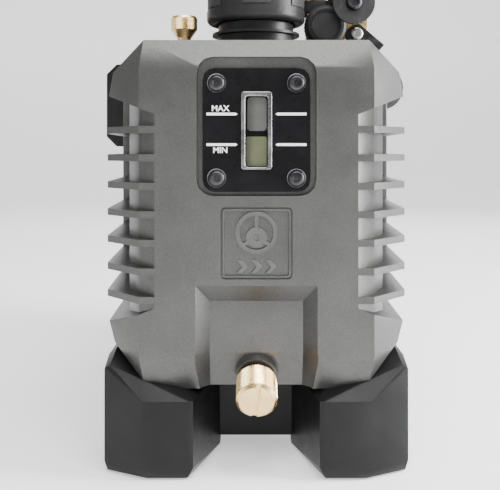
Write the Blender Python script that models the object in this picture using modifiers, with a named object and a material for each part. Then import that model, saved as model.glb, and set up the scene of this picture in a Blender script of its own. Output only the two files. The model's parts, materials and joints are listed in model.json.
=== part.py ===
"""Rotary-vane vacuum pump, standing on its feet. Metres, +Z up, front towards -Y, shaft axis along Y."""

import math

import bmesh
import bpy
from mathutils import Matrix, Vector

# ---- driving sizes ----
GAP = 0.0003  # clearance between touching pieces
SLIDE_GAP = 0.0003  # radial clearance of threads, shafts and stems

FRONT_Y = -0.164  # front face of the oil reservoir
RESERVOIR_DEPTH = 0.110
FACE_HALF = 0.059  # half width of the flat front face
FACE_LOW, FACE_TOP = 0.0632, 0.2075
TOP_HALF, TOP_Z, TOP_BACK = 0.0575, 0.2225, 0.007
CROWN = 0.0012  # rise of the top towards the rear
SIDE_HALF, SIDE_BACK = 0.075, 0.019
SIDE_LOW, SIDE_TOP = 0.076, 0.1933
DRAFT = 0.044  # outward slope of the sides
KEEL_HALF, KEEL_Z = 0.037, 0.0445
RESERVOIR_LOW_Z = 0.0489

FIN_COUNT, FIN_PITCH, FIN_THICK, FIN_FIRST_Z = 7, 0.01428, 0.0035, 0.0912
FIN_PROUD = 0.0035
VALLEY = ((0.0500, -0.001), (0.0600, 0.009), (0.0680, 0.030), (0.0715, 0.115))  # half width, depth
BLOCK_SLOPE = 0.39  # slope of the blocks above and below the fins
BLOCK_LOW_Z, BLOCK_TOP_Z = 0.0875, 0.1840

CAVITY_HALF, CAVITY_FRONT = 0.0635, 0.026
CAVITY_LOW, CAVITY_TOP = 0.0535, 0.218
CAVITY_FRONT_HALF = 0.054

PLATE_HALF, PLATE_LOW, PLATE_TOP, PLATE_THICK = 0.0270, 0.1455, 0.2076, 0.0030
PLATE_CORNER = 0.006
RECESS_HALF, RECESS_LOW, RECESS_TOP, RECESS_DEEP = 0.0300, 0.1435, 0.2095, 0.0035
WINDOW_HALF, WINDOW_LOW, WINDOW_TOP, WINDOW_DEEP = 0.0079, 0.1565, 0.1960, 0.0060
GLASS_RIM = 0.0040  # how far the glass runs behind the plate
SCREW_X, SCREW_LOW, SCREW_HIGH = 0.0200, 0.1524, 0.2000
SCREW_HEAD_R, SCREW_HEAD_H, SCREW_SHANK_R, SCREW_LONG = 0.0043, 0.0022, 0.0020, 0.0090

EMBLEM_HALF, EMBLEM_LOW, EMBLEM_TOP, EMBLEM_DEEP = 0.0180, 0.1018, 0.1380, 0.0012

POCKET_HALF, POCKET_TOP, POCKET_DEEP, POCKET_SLOPE = 0.0306, 0.0991, 0.0080, 0.0068
POCKET_BEND_Z = 0.0638
DRAIN_TILT = math.radians(23)
DRAIN_Z, DRAIN_BACK = 0.0520, 0.0125
DRAIN_BOSS_R, DRAIN_BOSS_H, DRAIN_BORE_R = 0.0110, 0.0040, 0.0062
DRAIN_KNOB_R, DRAIN_KNOB_H, DRAIN_SHANK = 0.01035, 0.0168, 0.0160
DRAIN_SEAL_H = 0.0015
DRAIN_SLOT_WIDE, DRAIN_SLOT_DEEP = 0.0025, 0.0022

EXHAUST_BACK = 0.045
NECK_R, NECK_BORE_R, NECK_TOP = 0.02085, 0.0165, 0.2500
NECK_RING_R, NECK_RING_LOW, NECK_RING_TOP = 0.0242, 0.2290, 0.2310
CAP_R, CAP_LOW, CAP_TOP = 0.02725, 0.2355, 0.2620

BALLAST_X = -0.0398
BALLAST_STEM_R, BALLAST_HEAD_R = 0.00375, 0.00725
BALLAST_HEAD_LOW, BALLAST_HEAD_TOP = 0.2325, 0.2406
BALLAST_SEAT_R, BALLAST_SEAT_LOW = 0.0062, 0.2100

INTAKE_BACK, INTAKE_X = 0.074, 0.038
INTAKE_NECK_R, INTAKE_BORE_R = 0.0080, 0.0035
PORT_X, PORT_Z, PORT_CAP_R, PORT_CAP_FRONT, PORT_CAP_LONG = 0.0395, 0.2366, 0.0118, 0.049, 0.0115
TOP_CAP_R, TOP_CAP_LOW, TOP_CAP_HIGH = 0.0135, 0.2560, 0.2760
COLLAR_R, COLLAR_LOW, COLLAR_TOP = 0.0130, 0.2465, 0.2530
TAG_X, TAG_Z, TAG_R, TAG_FRONT, TAG_THICK = 0.05425, 0.2480, 0.0116, 0.0415, 0.0030
MANIFOLD_LEFT, MANIFOLD_RIGHT, MANIFOLD_FRONT, MANIFOLD_REAR = 0.0270, 0.0640, 0.0615, 0.0880
MANIFOLD_PLATE, BLOCK_FRONT, BLOCK_REAR = 0.0026, 0.0660, 0.0820
TOWER_LEFT, TOWER_RIGHT, TOWER_TOP, BLOCK_TOP = 0.0520, 0.0650, 0.2570, 0.2462
PORT_INSIDE, PORT_SEAL_R, PORT_SEAL_H = 0.0050, 0.0045, 0.0010
TAG_HOLE_R, TAG_BOSS_R, TAG_SCREW_R, TAG_SCREW_HEAD_R = 0.0018, 0.0035, 0.0015, 0.0046
STEM_R, STEM_LONG = 0.0030, 0.0125
LEVER_X, LEVER_Z, LEVER_HUB_R, LEVER_FRONT = 0.0575, 0.2327, 0.0055, 0.0560
LEVER_ANGLE, LEVER_LONG, LEVER_THICK = math.radians(-41), 0.0160, 0.0034
BALL_R = 0.0055

AXIS_Z = 0.125
FLANGE_HALF, FLANGE_LOW, FLANGE_TOP, FLANGE_THICK = 0.0845, 0.0445, 0.2320, 0.0140
FLANGE_CORNER = 0.0120
GASKET_THICK = 0.0010
MOTOR_R, MOTOR_WALL, MOTOR_LONG, BELL_LONG = 0.075, 0.005, 0.1477, 0.0184
MOTOR_FOOT_HALF, MOTOR_FOOT_INSET = 0.040, 0.010
SHAFT_R = 0.008
SEAL_R, SEAL_WIDE = 0.0150, 0.0072
BEARING_R, BEARING_WIDE = 0.0175, 0.0110
STATOR_BORE_R, STATOR_LONG, WINDING_LONG = 0.039, 0.060, 0.012
ROTOR_AIR_GAP = 0.0005
COWL_LONG, COWL_WALL, COWL_R = 0.0477, 0.003, 0.077
FAN_R, FAN_HUB_R, FAN_BLADES, FAN_WIDE, FAN_INSET = 0.060, 0.020, 7, 0.020, 0.006
CYLINDER_R, CYLINDER_BORE_R, CYLINDER_LONG, CYLINDER_OFFSET = 0.045, 0.025, 0.040, 0.004
VANE_THICK, VANE_TALL = 0.004, 0.0098
END_COVER_THICK = 0.006

BOX_OUT, BOX_TOP, BOX_LONG, BOX_CORNER, BOX_WALL = 0.0975, 0.223, 0.100, 0.0065, 0.0025
BOX_IN, BOX_DROP = 0.046, 0.031  # inner side, and how far the box reaches below the motor's top
BOSS_R, BOSS_LONG = 0.0145, 0.085
ROCKER_Y, ROCKER_Z, ROCKER_HALF_TALL, ROCKER_HALF_WIDE = 0.004, 0.200, 0.0105, 0.0062
ROCKER_TILT = math.radians(8)
INLET_Y, INLET_Z, INLET_HALF_WIDE, INLET_HALF_TALL, INLET_DEEP = 0.038, 0.198, 0.0135, 0.0105, 0.020

FOOT_OUT, FOOT_HALF_FRONT, FOOT_IN = 0.0782, 0.0573, 0.0318
FOOT_LONG, FOOT_TOP, FOOT_FRONT_TOP, FOOT_CHAMFER = 0.052, 0.062, 0.0405, 0.0068
BASE_INSET, DECK_THICK, DECK_HALF = 0.018, 0.008, 0.062  # the base ends short of the fan cowl
RAIL_LOW, RAIL_TOP = 0.016, 0.048
PAD_R, PAD_PROUD, PAD_DEEP = 0.0105, 0.0012, 0.0040
PAD_X, PAD_INSET = 0.053, 0.026

HANDLE_HALF, HANDLE_TOP, HANDLE_THICK, POST_LONG = 0.0150, 0.288, 0.018, 0.022
HANDLE_LONG, HANDLE_LEAN, GRIP_LONG, GRIP_SKIN = 0.165, 0.012, 0.098, 0.0025

# ---- worked out from the driving sizes ----
RESERVOIR_REAR = FRONT_Y + RESERVOIR_DEPTH
FLANGE_FRONT = RESERVOIR_REAR + 2 * GAP + GASKET_THICK
FLANGE_REAR = FLANGE_FRONT + FLANGE_THICK
BELL_REAR = FLANGE_REAR + BELL_LONG
MOTOR_FRONT = BELL_REAR + GAP
MOTOR_REAR = MOTOR_FRONT + MOTOR_LONG
COWL_FRONT = MOTOR_REAR + GAP
COWL_REAR = COWL_FRONT + COWL_LONG
DECK_TOP = KEEL_Z - GAP
STATOR_FRONT = MOTOR_FRONT + 0.044
BASE_LONG = COWL_REAR - BASE_INSET - FRONT_Y
MOTOR_TOP = AXIS_Z + MOTOR_R
BOX_LOW = MOTOR_TOP - BOX_DROP
DRAIN_AXIS = Vector((0, -math.cos(DRAIN_TILT), -math.sin(DRAIN_TILT)))
DRAIN_BASE = Vector((0, FRONT_Y + DRAIN_BACK, DRAIN_Z))
SHAFT_DIR = Vector((0, 1, 0))
UP = Vector((0, 0, 1))

FINISHES = {  # base colour, roughness, metallic
    "cast": ((0.33, 0.335, 0.325, 1), 0.5, 0.6),
    "black": ((0.025, 0.025, 0.027, 1), 0.5, 0.0),
    "brass": ((0.80, 0.57, 0.30, 1), 0.25, 1.0),
    "steel": ((0.45, 0.45, 0.45, 1), 0.35, 1.0),
    "iron": ((0.18, 0.18, 0.19, 1), 0.6, 0.8),
    "copper": ((0.55, 0.22, 0.10, 1), 0.4, 1.0),
    "rubber": ((0.02, 0.02, 0.02, 1), 0.85, 0.0),
    "glass": ((0.55, 0.58, 0.40, 1), 0.1, 0.0),
    "dark_metal": ((0.05, 0.05, 0.055, 1), 0.45, 0.7),
}

parts = bpy.data.collections.new("vacuum_pump")
cutters = bpy.data.collections.new("cutters")


def start_scene():
    for obj in list(bpy.data.objects):
        bpy.data.objects.remove(obj, do_unlink=True)
    bpy.context.scene.collection.children.link(parts)
    bpy.context.scene.collection.children.link(cutters)


def new_object(name, mesh):
    obj = bpy.data.objects.new(name, mesh)
    parts.objects.link(obj)
    return obj


def from_bmesh(name, bm):
    bmesh.ops.remove_doubles(bm, verts=bm.verts, dist=1e-6)
    bmesh.ops.recalc_face_normals(bm, faces=bm.faces)
    mesh = bpy.data.meshes.new(name)
    bm.to_mesh(mesh)
    bm.free()
    return new_object(name, mesh)


def finish(obj, kind):
    colour, roughness, metallic = FINISHES[kind]
    material = bpy.data.materials.new(obj.name)
    material.use_nodes = True
    shader = material.node_tree.nodes["Principled BSDF"]
    shader.inputs["Base Color"].default_value = colour
    shader.inputs["Roughness"].default_value = roughness
    shader.inputs["Metallic"].default_value = metallic
    obj.data.materials.clear()
    obj.data.materials.append(material)
    return obj


def box(name, low, high):
    """A block between two corners."""
    bm = bmesh.new()
    bmesh.ops.create_cube(bm, size=1)
    low, high = Vector(low), Vector(high)
    for vert in bm.verts:
        vert.co = (low + high) / 2 + Vector(a * b for a, b in zip(vert.co, high - low))
    return from_bmesh(name, bm)


def hull(name, points):
    """The convex solid around a set of points."""
    bm = bmesh.new()
    for point in points:
        bm.verts.new(point)
    made = bmesh.ops.convex_hull(bm, input=bm.verts)
    inside = [e for e in made["geom_interior"] if isinstance(e, bmesh.types.BMVert)]
    bmesh.ops.delete(bm, geom=inside, context="VERTS")
    bmesh.ops.dissolve_limit(bm, angle_limit=1e-4, verts=bm.verts, edges=bm.edges)
    return from_bmesh(name, bm)


def prism(name, outline, low, high, place):
    """A flat outline in (a, b), drawn out from low to high; place turns (a, b, c) into x, y, z."""
    bm = bmesh.new()
    face = bm.faces.new([bm.verts.new(place(a, b, low)) for a, b in outline])
    side = bmesh.ops.extrude_face_region(bm, geom=[face])
    step = Vector(place(0, 0, high)) - Vector(place(0, 0, low))
    moved = [v for v in side["geom"] if isinstance(v, bmesh.types.BMVert)]
    bmesh.ops.translate(bm, verts=moved, vec=step)
    return from_bmesh(name, bm)


def across_y(a, b, c):
    return (a, c, b)


def across_z(a, b, c):
    return (a, b, c)


def turned(name, profile, at, axis=UP, steps=32, ring=False):
    """A profile of (radius, height) turned about an axis with a Screw, and settled to a mesh."""
    mesh = bpy.data.meshes.new(name + "_profile")
    edges = [(i, i + 1) for i in range(len(profile) - 1)]
    if ring:
        edges.append((len(profile) - 1, 0))
    mesh.from_pydata([(r, 0, z) for r, z in profile], edges, [])
    guide = bpy.data.objects.new(name + "_guide", mesh)
    bpy.context.scene.collection.objects.link(guide)
    screw = guide.modifiers.new("Screw", "SCREW")
    screw.axis, screw.angle = "Z", math.tau
    screw.steps = screw.render_steps = steps
    screw.use_merge_vertices, screw.merge_threshold = True, 1e-6
    bpy.context.view_layer.update()
    solid = bpy.data.meshes.new_from_object(guide.evaluated_get(bpy.context.evaluated_depsgraph_get()))
    bpy.data.objects.remove(guide)
    bm = bmesh.new()
    bm.from_mesh(solid)
    obj = from_bmesh(name, bm)
    obj.location = at
    obj.rotation_euler = UP.rotation_difference(Vector(axis)).to_euler()
    return obj


def rod(name, radius, at, axis, low, high, steps=32):
    return turned(name, [(0, high), (radius, high), (radius, low), (0, low)], at, axis, steps)


def tube(name, inner, outer, at, axis, low, high, steps=32):
    profile = [(inner, high), (outer, high), (outer, low), (inner, low)]
    return turned(name, profile, at, axis, steps, ring=True)


def boolean(obj, other, operation):
    for holder in list(other.users_collection):
        holder.objects.unlink(other)
    cutters.objects.link(other)
    other.hide_render, other.display_type = True, "WIRE"
    modifier = obj.modifiers.new(other.name, "BOOLEAN")
    modifier.operation, modifier.object = operation, other


def cut(obj, *others):
    for other in others:
        boolean(obj, other, "DIFFERENCE")


def join(obj, *others):
    for other in others:
        boolean(obj, other, "UNION")


def round_corners(half, low, top, radius, steps=3):
    """A rectangle with round corners, in (x, z)."""
    points = []
    for x, z, start in ((half, top, 0), (-half, top, 1), (-half, low, 2), (half, low, 3)):
        middle = (x - math.copysign(radius, x), z + (radius if z == low else -radius))
        for i in range(steps + 1):
            angle = (start + i / steps) * math.pi / 2
            points.append((middle[0] + radius * math.cos(angle), middle[1] + radius * math.sin(angle)))
    return points


def at_front(x, back, z):
    return (x, FRONT_Y + back, z)


def both_sides(points):
    return [(side * x, y, z) for side in (1, -1) for x, y, z in points]


# ---- oil reservoir ----
def reservoir_block(name, grow=0.0):
    """The block that the fins and recesses are cut from, grown all round by a clearance."""
    rear = RESERVOIR_DEPTH + grow
    spread = DRAFT * (RESERVOIR_DEPTH - SIDE_BACK)
    outline = [
        (FACE_HALF + grow, -grow, FACE_TOP),
        (FACE_HALF + grow, -grow, FACE_LOW),
        (TOP_HALF, TOP_BACK, TOP_Z + grow),
        (TOP_HALF + 0.013 + grow, SIDE_BACK, TOP_Z - 0.0108 + grow),
        (SIDE_HALF + grow, SIDE_BACK, TOP_Z - 0.0155 + grow),
        (SIDE_HALF + grow, SIDE_BACK, SIDE_TOP),
        (SIDE_HALF + FIN_PROUD + grow, SIDE_BACK + 0.004, SIDE_TOP - 0.002),
        (SIDE_HALF + FIN_PROUD + grow, SIDE_BACK + 0.004, SIDE_LOW + 0.004),
        (SIDE_HALF + grow, SIDE_BACK, SIDE_LOW),
        (SIDE_HALF - 0.001 + grow, SIDE_BACK, SIDE_LOW - 0.010 - grow),
        (TOP_HALF, TOP_BACK, RESERVOIR_LOW_Z - grow),
        (KEEL_HALF, TOP_BACK + 0.002, KEEL_Z - grow),
        (TOP_HALF, rear, TOP_Z + CROWN + grow),
        (TOP_HALF + 0.013 + spread + grow, rear, TOP_Z - 0.0108 + grow),
        (SIDE_HALF + spread + grow, rear, TOP_Z - 0.0155 + grow),
        (SIDE_HALF + FIN_PROUD + spread + grow, rear, SIDE_TOP - 0.002),
        (SIDE_HALF + FIN_PROUD + spread + grow, rear, SIDE_LOW + 0.004),
        (SIDE_HALF + spread - 0.001 + grow, rear, SIDE_LOW - 0.010 - grow),
        (TOP_HALF, rear, RESERVOIR_LOW_Z - grow),
        (KEEL_HALF, rear, KEEL_Z - grow),
    ]
    return hull(name, both_sides([at_front(*point) for point in outline]))


def valley_cutter(name, side, low, high, low_slope=0.0, high_slope=0.0):
    """One gap between fins: a plan outline whose floor and roof may slope with x."""
    outside = SIDE_HALF + 0.020
    plan = [*VALLEY, (outside, VALLEY[-1][1]), (outside, VALLEY[0][1])]
    start = VALLEY[0][0]
    bm = bmesh.new()
    rows = []
    for level, slope in ((low, low_slope), (high, high_slope)):
        rows.append(
            [bm.verts.new(at_front(side * x, back, level + slope * (x - start))) for x, back in plan]
        )
    bm.faces.new(rows[0])
    bm.faces.new(rows[1])
    for i in range(len(plan)):
        j = (i + 1) % len(plan)
        bm.faces.new((rows[0][i], rows[0][j], rows[1][j], rows[1][i]))
    return from_bmesh(name, bm)


def cut_fins(reservoir):
    half = FIN_THICK / 2
    for side, word in ((1, "right"), (-1, "left")):
        for i in range(FIN_COUNT + 1):
            low = FIN_FIRST_Z + (i - 1) * FIN_PITCH + half if i else BLOCK_LOW_Z
            high = FIN_FIRST_Z + i * FIN_PITCH - half if i < FIN_COUNT else BLOCK_TOP_Z
            slopes = (0.0 if i else -BLOCK_SLOPE, 0.0 if i < FIN_COUNT else BLOCK_SLOPE)
            cut(reservoir, valley_cutter(f"valley_{word}_{i}", side, low, high, *slopes))


def pocket_cutters():
    lean = math.tan(DRAIN_TILT)
    floor_half = POCKET_HALF - POCKET_SLOPE
    floor_top = POCKET_TOP - POCKET_SLOPE - 0.0028
    ahead, below = 0.002, 0.030
    grow = ahead * POCKET_SLOPE / POCKET_DEEP
    upper = [
        (POCKET_HALF + grow, -ahead, POCKET_TOP + grow),
        (floor_half, POCKET_DEEP, floor_top),
        (POCKET_HALF + grow, -ahead, POCKET_BEND_Z - 0.002),
        (floor_half, POCKET_DEEP, POCKET_BEND_Z),
    ]
    deep = POCKET_DEEP + (POCKET_BEND_Z - below) * lean
    lower = [
        (POCKET_HALF + grow, -ahead, POCKET_BEND_Z + 0.001),
        (floor_half, POCKET_DEEP, POCKET_BEND_Z),
        (POCKET_HALF + grow, -ahead, below),
        (floor_half, deep, below),
        (POCKET_HALF, POCKET_DEEP, below),
    ]
    for word, points in (("upper", upper), ("lower", lower)):
        yield hull(f"pocket_{word}", both_sides([at_front(*point) for point in points]))


def oil_reservoir():
    reservoir = reservoir_block("oil_reservoir")
    cut_fins(reservoir)
    cut(reservoir, *pocket_cutters())
    join(reservoir, rod("drain_boss", DRAIN_BOSS_R, DRAIN_BASE, DRAIN_AXIS, -0.006, DRAIN_BOSS_H))
    rear = RESERVOIR_DEPTH + 0.002
    cavity = [
        (CAVITY_FRONT_HALF - 0.008, CAVITY_FRONT - 0.010, CAVITY_TOP - 0.006),
        (CAVITY_FRONT_HALF - 0.008, CAVITY_FRONT, CAVITY_LOW + 0.004),
        (CAVITY_HALF, CAVITY_FRONT + 0.010, CAVITY_TOP - 0.008),
        (CAVITY_HALF, CAVITY_FRONT + 0.010, CAVITY_LOW + 0.012),
        (CAVITY_FRONT_HALF, rear, CAVITY_TOP),
        (CAVITY_HALF, rear, CAVITY_TOP - 0.010),
        (CAVITY_HALF, rear, CAVITY_LOW + 0.014),
        (CAVITY_FRONT_HALF, rear, CAVITY_LOW),
    ]
    cut(reservoir, hull("reservoir_cavity", both_sides([at_front(*point) for point in cavity])))
    recess = round_corners(RECESS_HALF, RECESS_LOW, RECESS_TOP + 0.004, PLATE_CORNER + 0.002)
    plate_back = FRONT_Y + RECESS_DEEP
    cut(reservoir, prism("plate_recess", recess, FRONT_Y - 0.002, plate_back, across_y))
    glass = round_corners(
        WINDOW_HALF + GLASS_RIM + GAP, WINDOW_LOW - GLASS_RIM - GAP, WINDOW_TOP + GLASS_RIM + GAP, 0.003
    )
    cut(reservoir, prism("glass_seat", glass, plate_back - 0.001, plate_back + WINDOW_DEEP, across_y))
    bore = ((-WINDOW_HALF, plate_back, WINDOW_LOW), (WINDOW_HALF, FRONT_Y + 0.050, WINDOW_TOP))
    cut(reservoir, box("window_bore", *bore))
    emblem = round_corners(EMBLEM_HALF, EMBLEM_LOW, EMBLEM_TOP, 0.002, 2)
    cut(reservoir, prism("emblem_recess", emblem, FRONT_Y - 0.001, FRONT_Y + EMBLEM_DEEP, across_y))
    bore_r = DRAIN_BORE_R
    cut(reservoir, rod("drain_bore", bore_r, DRAIN_BASE, DRAIN_AXIS, -0.040, DRAIN_BOSS_H + 0.001, 24))
    for i, (x, z) in enumerate(sight_screw_places()):
        bore_r = SCREW_SHANK_R + SLIDE_GAP
        cut(reservoir, rod(f"screw_hole_{i}", bore_r, (x, FRONT_Y, z), SHAFT_DIR, -0.001, 0.012, 12))
    top = TOP_Z + 0.010
    holes = (
        ("neck_hole", NECK_R + GAP, 0.0, EXHAUST_BACK, 32),
        ("ballast_hole", BALLAST_SEAT_R + GAP, BALLAST_X, EXHAUST_BACK, 16),
        ("intake_hole", INTAKE_NECK_R - 0.0015 + GAP, INTAKE_X, INTAKE_BACK, 20),
    )
    for name, radius, x, back, steps in holes:
        cut(reservoir, rod(name, radius, at_front(x, back, 0), UP, CAVITY_TOP - 0.020, top, steps))
    return finish(reservoir, "cast")


def ring_plate(name, low, high, grow):
    """A plate with the reservoir's rear outline and its opening."""
    spread = DRAFT * (RESERVOIR_DEPTH - SIDE_BACK)
    half = SIDE_HALF + spread - grow
    outline = [
        (TOP_HALF, TOP_Z + CROWN),
        (half, TOP_Z - 0.0155),
        (half, SIDE_LOW - 0.010),
        (TOP_HALF, RESERVOIR_LOW_Z),
    ]
    outline = outline + [(-x, z) for x, z in reversed(outline)]
    plate = prism(name, outline, low, high, across_y)
    opening = round_corners(CAVITY_HALF, CAVITY_LOW, CAVITY_TOP, 0.010, 2)
    cut(plate, prism(name + "_opening", opening, low - 0.001, high + 0.001, across_y))
    return plate


def reservoir_gasket():
    low = RESERVOIR_REAR + GAP
    return finish(ring_plate("reservoir_gasket", low, low + GASKET_THICK, 0.0), "rubber")


# ---- sight glass ----
def sight_screw_places():
    return [(x, z) for z in (SCREW_HIGH, SCREW_LOW) for x in (-SCREW_X, SCREW_X)]


def sight_glass():
    back = FRONT_Y + RECESS_DEEP - GAP
    outline = round_corners(PLATE_HALF, PLATE_LOW, PLATE_TOP, PLATE_CORNER)
    plate = prism("sight_plate", outline, back - PLATE_THICK, back, across_y)
    window = round_corners(WINDOW_HALF, WINDOW_LOW, WINDOW_TOP, 0.0015, 2)
    cut(plate, prism("plate_window", window, back - PLATE_THICK - 0.001, back + 0.001, across_y))
    for i, (x, z) in enumerate(sight_screw_places()):
        radius = SCREW_SHANK_R + SLIDE_GAP
        cut(plate, rod(f"plate_hole_{i}", radius, (x, back, z), SHAFT_DIR, -0.006, 0.002, 12))
        face = back - PLATE_THICK - GAP
        profile = [
            (0, SCREW_LONG),
            (SCREW_SHANK_R, SCREW_LONG),
            (SCREW_SHANK_R, 0),
            (SCREW_HEAD_R, 0),
            (SCREW_HEAD_R * 0.93, -SCREW_HEAD_H * 0.7),
            (SCREW_HEAD_R * 0.6, -SCREW_HEAD_H),
            (0, -SCREW_HEAD_H),
        ]
        screw = turned(f"sight_screw_{i + 1}", profile, (x, face, z), SHAFT_DIR, 16)
        finish(screw, "dark_metal")
    finish(plate, "black")
    glass_low = FRONT_Y + RECESS_DEEP
    rim = GLASS_RIM
    pane = round_corners(WINDOW_HALF + rim, WINDOW_LOW - rim, WINDOW_TOP + rim, 0.003)
    glass = prism("sight_window", pane, glass_low, glass_low + WINDOW_DEEP * 0.6, across_y)
    finish(glass, "glass")
    seal_low = glass_low + WINDOW_DEEP * 0.6 + GAP
    seal = prism("sight_gasket", pane, seal_low, glass_low + WINDOW_DEEP - GAP, across_y)
    opening = round_corners(WINDOW_HALF, WINDOW_LOW, WINDOW_TOP, 0.002, 2)
    cut(seal, prism("gasket_opening", opening, seal_low - 0.001, glass_low + WINDOW_DEEP + 0.001, across_y))
    finish(seal, "rubber")


# ---- drain ----
def drain():
    seal_low = DRAIN_BOSS_H + GAP
    seal_high = seal_low + DRAIN_SEAL_H
    inner, outer = DRAIN_BORE_R + 0.0003, 0.0085
    finish(tube("drain_seal", inner, outer, DRAIN_BASE, DRAIN_AXIS, seal_low, seal_high, 24), "rubber")
    low = seal_high + GAP
    high = low + DRAIN_KNOB_H
    shank = DRAIN_BORE_R - SLIDE_GAP
    profile = [
        (0, high),
        (DRAIN_KNOB_R - 0.0015, high),
        (DRAIN_KNOB_R, high - 0.0015),
        (DRAIN_KNOB_R, low + 0.0008),
        (DRAIN_KNOB_R - 0.0008, low),
        (shank, low),
        (shank, low - DRAIN_SHANK),
        (0, low - DRAIN_SHANK),
    ]
    plug = turned("drain_plug", profile, DRAIN_BASE, DRAIN_AXIS, 32)
    slot = box(
        "plug_slot",
        (-DRAIN_KNOB_R - 0.002, -DRAIN_SLOT_WIDE / 2, high - DRAIN_SLOT_DEEP),
        (DRAIN_KNOB_R + 0.002, DRAIN_SLOT_WIDE / 2, high + 0.002),
    )
    slot.location = DRAIN_BASE
    turn = UP.rotation_difference(DRAIN_AXIS).to_matrix() @ Matrix.Rotation(math.radians(83), 3, "Z")
    slot.rotation_euler = turn.to_euler()
    cut(plug, slot)
    finish(plug, "brass")


# ---- exhaust ----
def exhaust():
    at = at_front(0, EXHAUST_BACK, 0)
    deck = TOP_Z + CROWN + GAP
    profile = [
        (NECK_BORE_R, NECK_TOP),
        (NECK_R - 0.0015, NECK_TOP),
        (NECK_R - 0.0015, CAP_LOW + 0.001),
        (NECK_R, CAP_LOW),
        (NECK_R, NECK_RING_TOP),
        (NECK_RING_R, NECK_RING_TOP - 0.0003),
        (NECK_RING_R, NECK_RING_LOW + 0.0003),
        (NECK_R + 0.0005, NECK_RING_LOW),
        (NECK_R + 0.0005, deck),
        (NECK_R, deck),
        (NECK_R, deck - 0.012),
        (NECK_BORE_R, deck - 0.012),
    ]
    finish(turned("exhaust_neck", profile, at, UP, 40, ring=True), "black")
    seal_top = NECK_TOP + 2 * GAP + 0.0020
    ring = (NECK_BORE_R, NECK_R - 0.0015, at, UP, NECK_TOP + GAP, seal_top - GAP, 32)
    finish(tube("exhaust_seal", *ring), "rubber")
    profile = [
        (0, CAP_TOP),
        (CAP_R - 0.004, CAP_TOP),
        (CAP_R, CAP_TOP - 0.003),
        (CAP_R, CAP_LOW + 0.002),
        (CAP_R - 0.002, CAP_LOW),
        (NECK_R - 0.0015 + 2 * SLIDE_GAP + 0.0015, CAP_LOW + 2 * GAP),
        (NECK_R - 0.0015 + SLIDE_GAP + 0.0003, CAP_LOW + 0.004),
        (NECK_R - 0.0015 + SLIDE_GAP + 0.0003, seal_top),
        (0, seal_top),
    ]
    finish(turned("exhaust_cap", profile, at, UP, 40), "black")
    mesh_low = deck - 0.010
    screen = rod("exhaust_filter", NECK_BORE_R - GAP, at, UP, mesh_low, mesh_low + 0.012, 24)
    finish(screen, "steel")


# ---- gas ballast ----
def gas_ballast():
    at = at_front(BALLAST_X, EXHAUST_BACK, 0)
    deck = TOP_Z + CROWN
    bore = BALLAST_STEM_R + SLIDE_GAP
    profile = [
        (bore, deck + 0.0008),
        (BALLAST_SEAT_R, deck + 0.0008),
        (BALLAST_SEAT_R, BALLAST_SEAT_LOW),
        (0.0015, BALLAST_SEAT_LOW),
        (0.0015, BALLAST_SEAT_LOW + 0.002),
        (bore, BALLAST_SEAT_LOW + 0.002),
    ]
    finish(turned("ballast_seat", profile, at, UP, 20, ring=True), "brass")
    seal_low = BALLAST_SEAT_LOW + 0.002 + GAP
    finish(rod("ballast_seal", BALLAST_STEM_R - 0.0003, at, UP, seal_low, seal_low + 0.0015, 16), "rubber")
    profile = [
        (0, BALLAST_HEAD_TOP),
        (BALLAST_HEAD_R - 0.0007, BALLAST_HEAD_TOP),
        (BALLAST_HEAD_R, BALLAST_HEAD_TOP - 0.0007),
        (BALLAST_HEAD_R, BALLAST_HEAD_LOW + 0.0006),
        (BALLAST_HEAD_R - 0.0006, BALLAST_HEAD_LOW),
        (BALLAST_STEM_R, BALLAST_HEAD_LOW - 0.0022),
        (BALLAST_STEM_R, seal_low + 0.0015 + GAP),
        (0, seal_low + 0.0015 + GAP),
    ]
    finish(turned("ballast_valve", profile, at, UP, 24), "brass")


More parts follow.
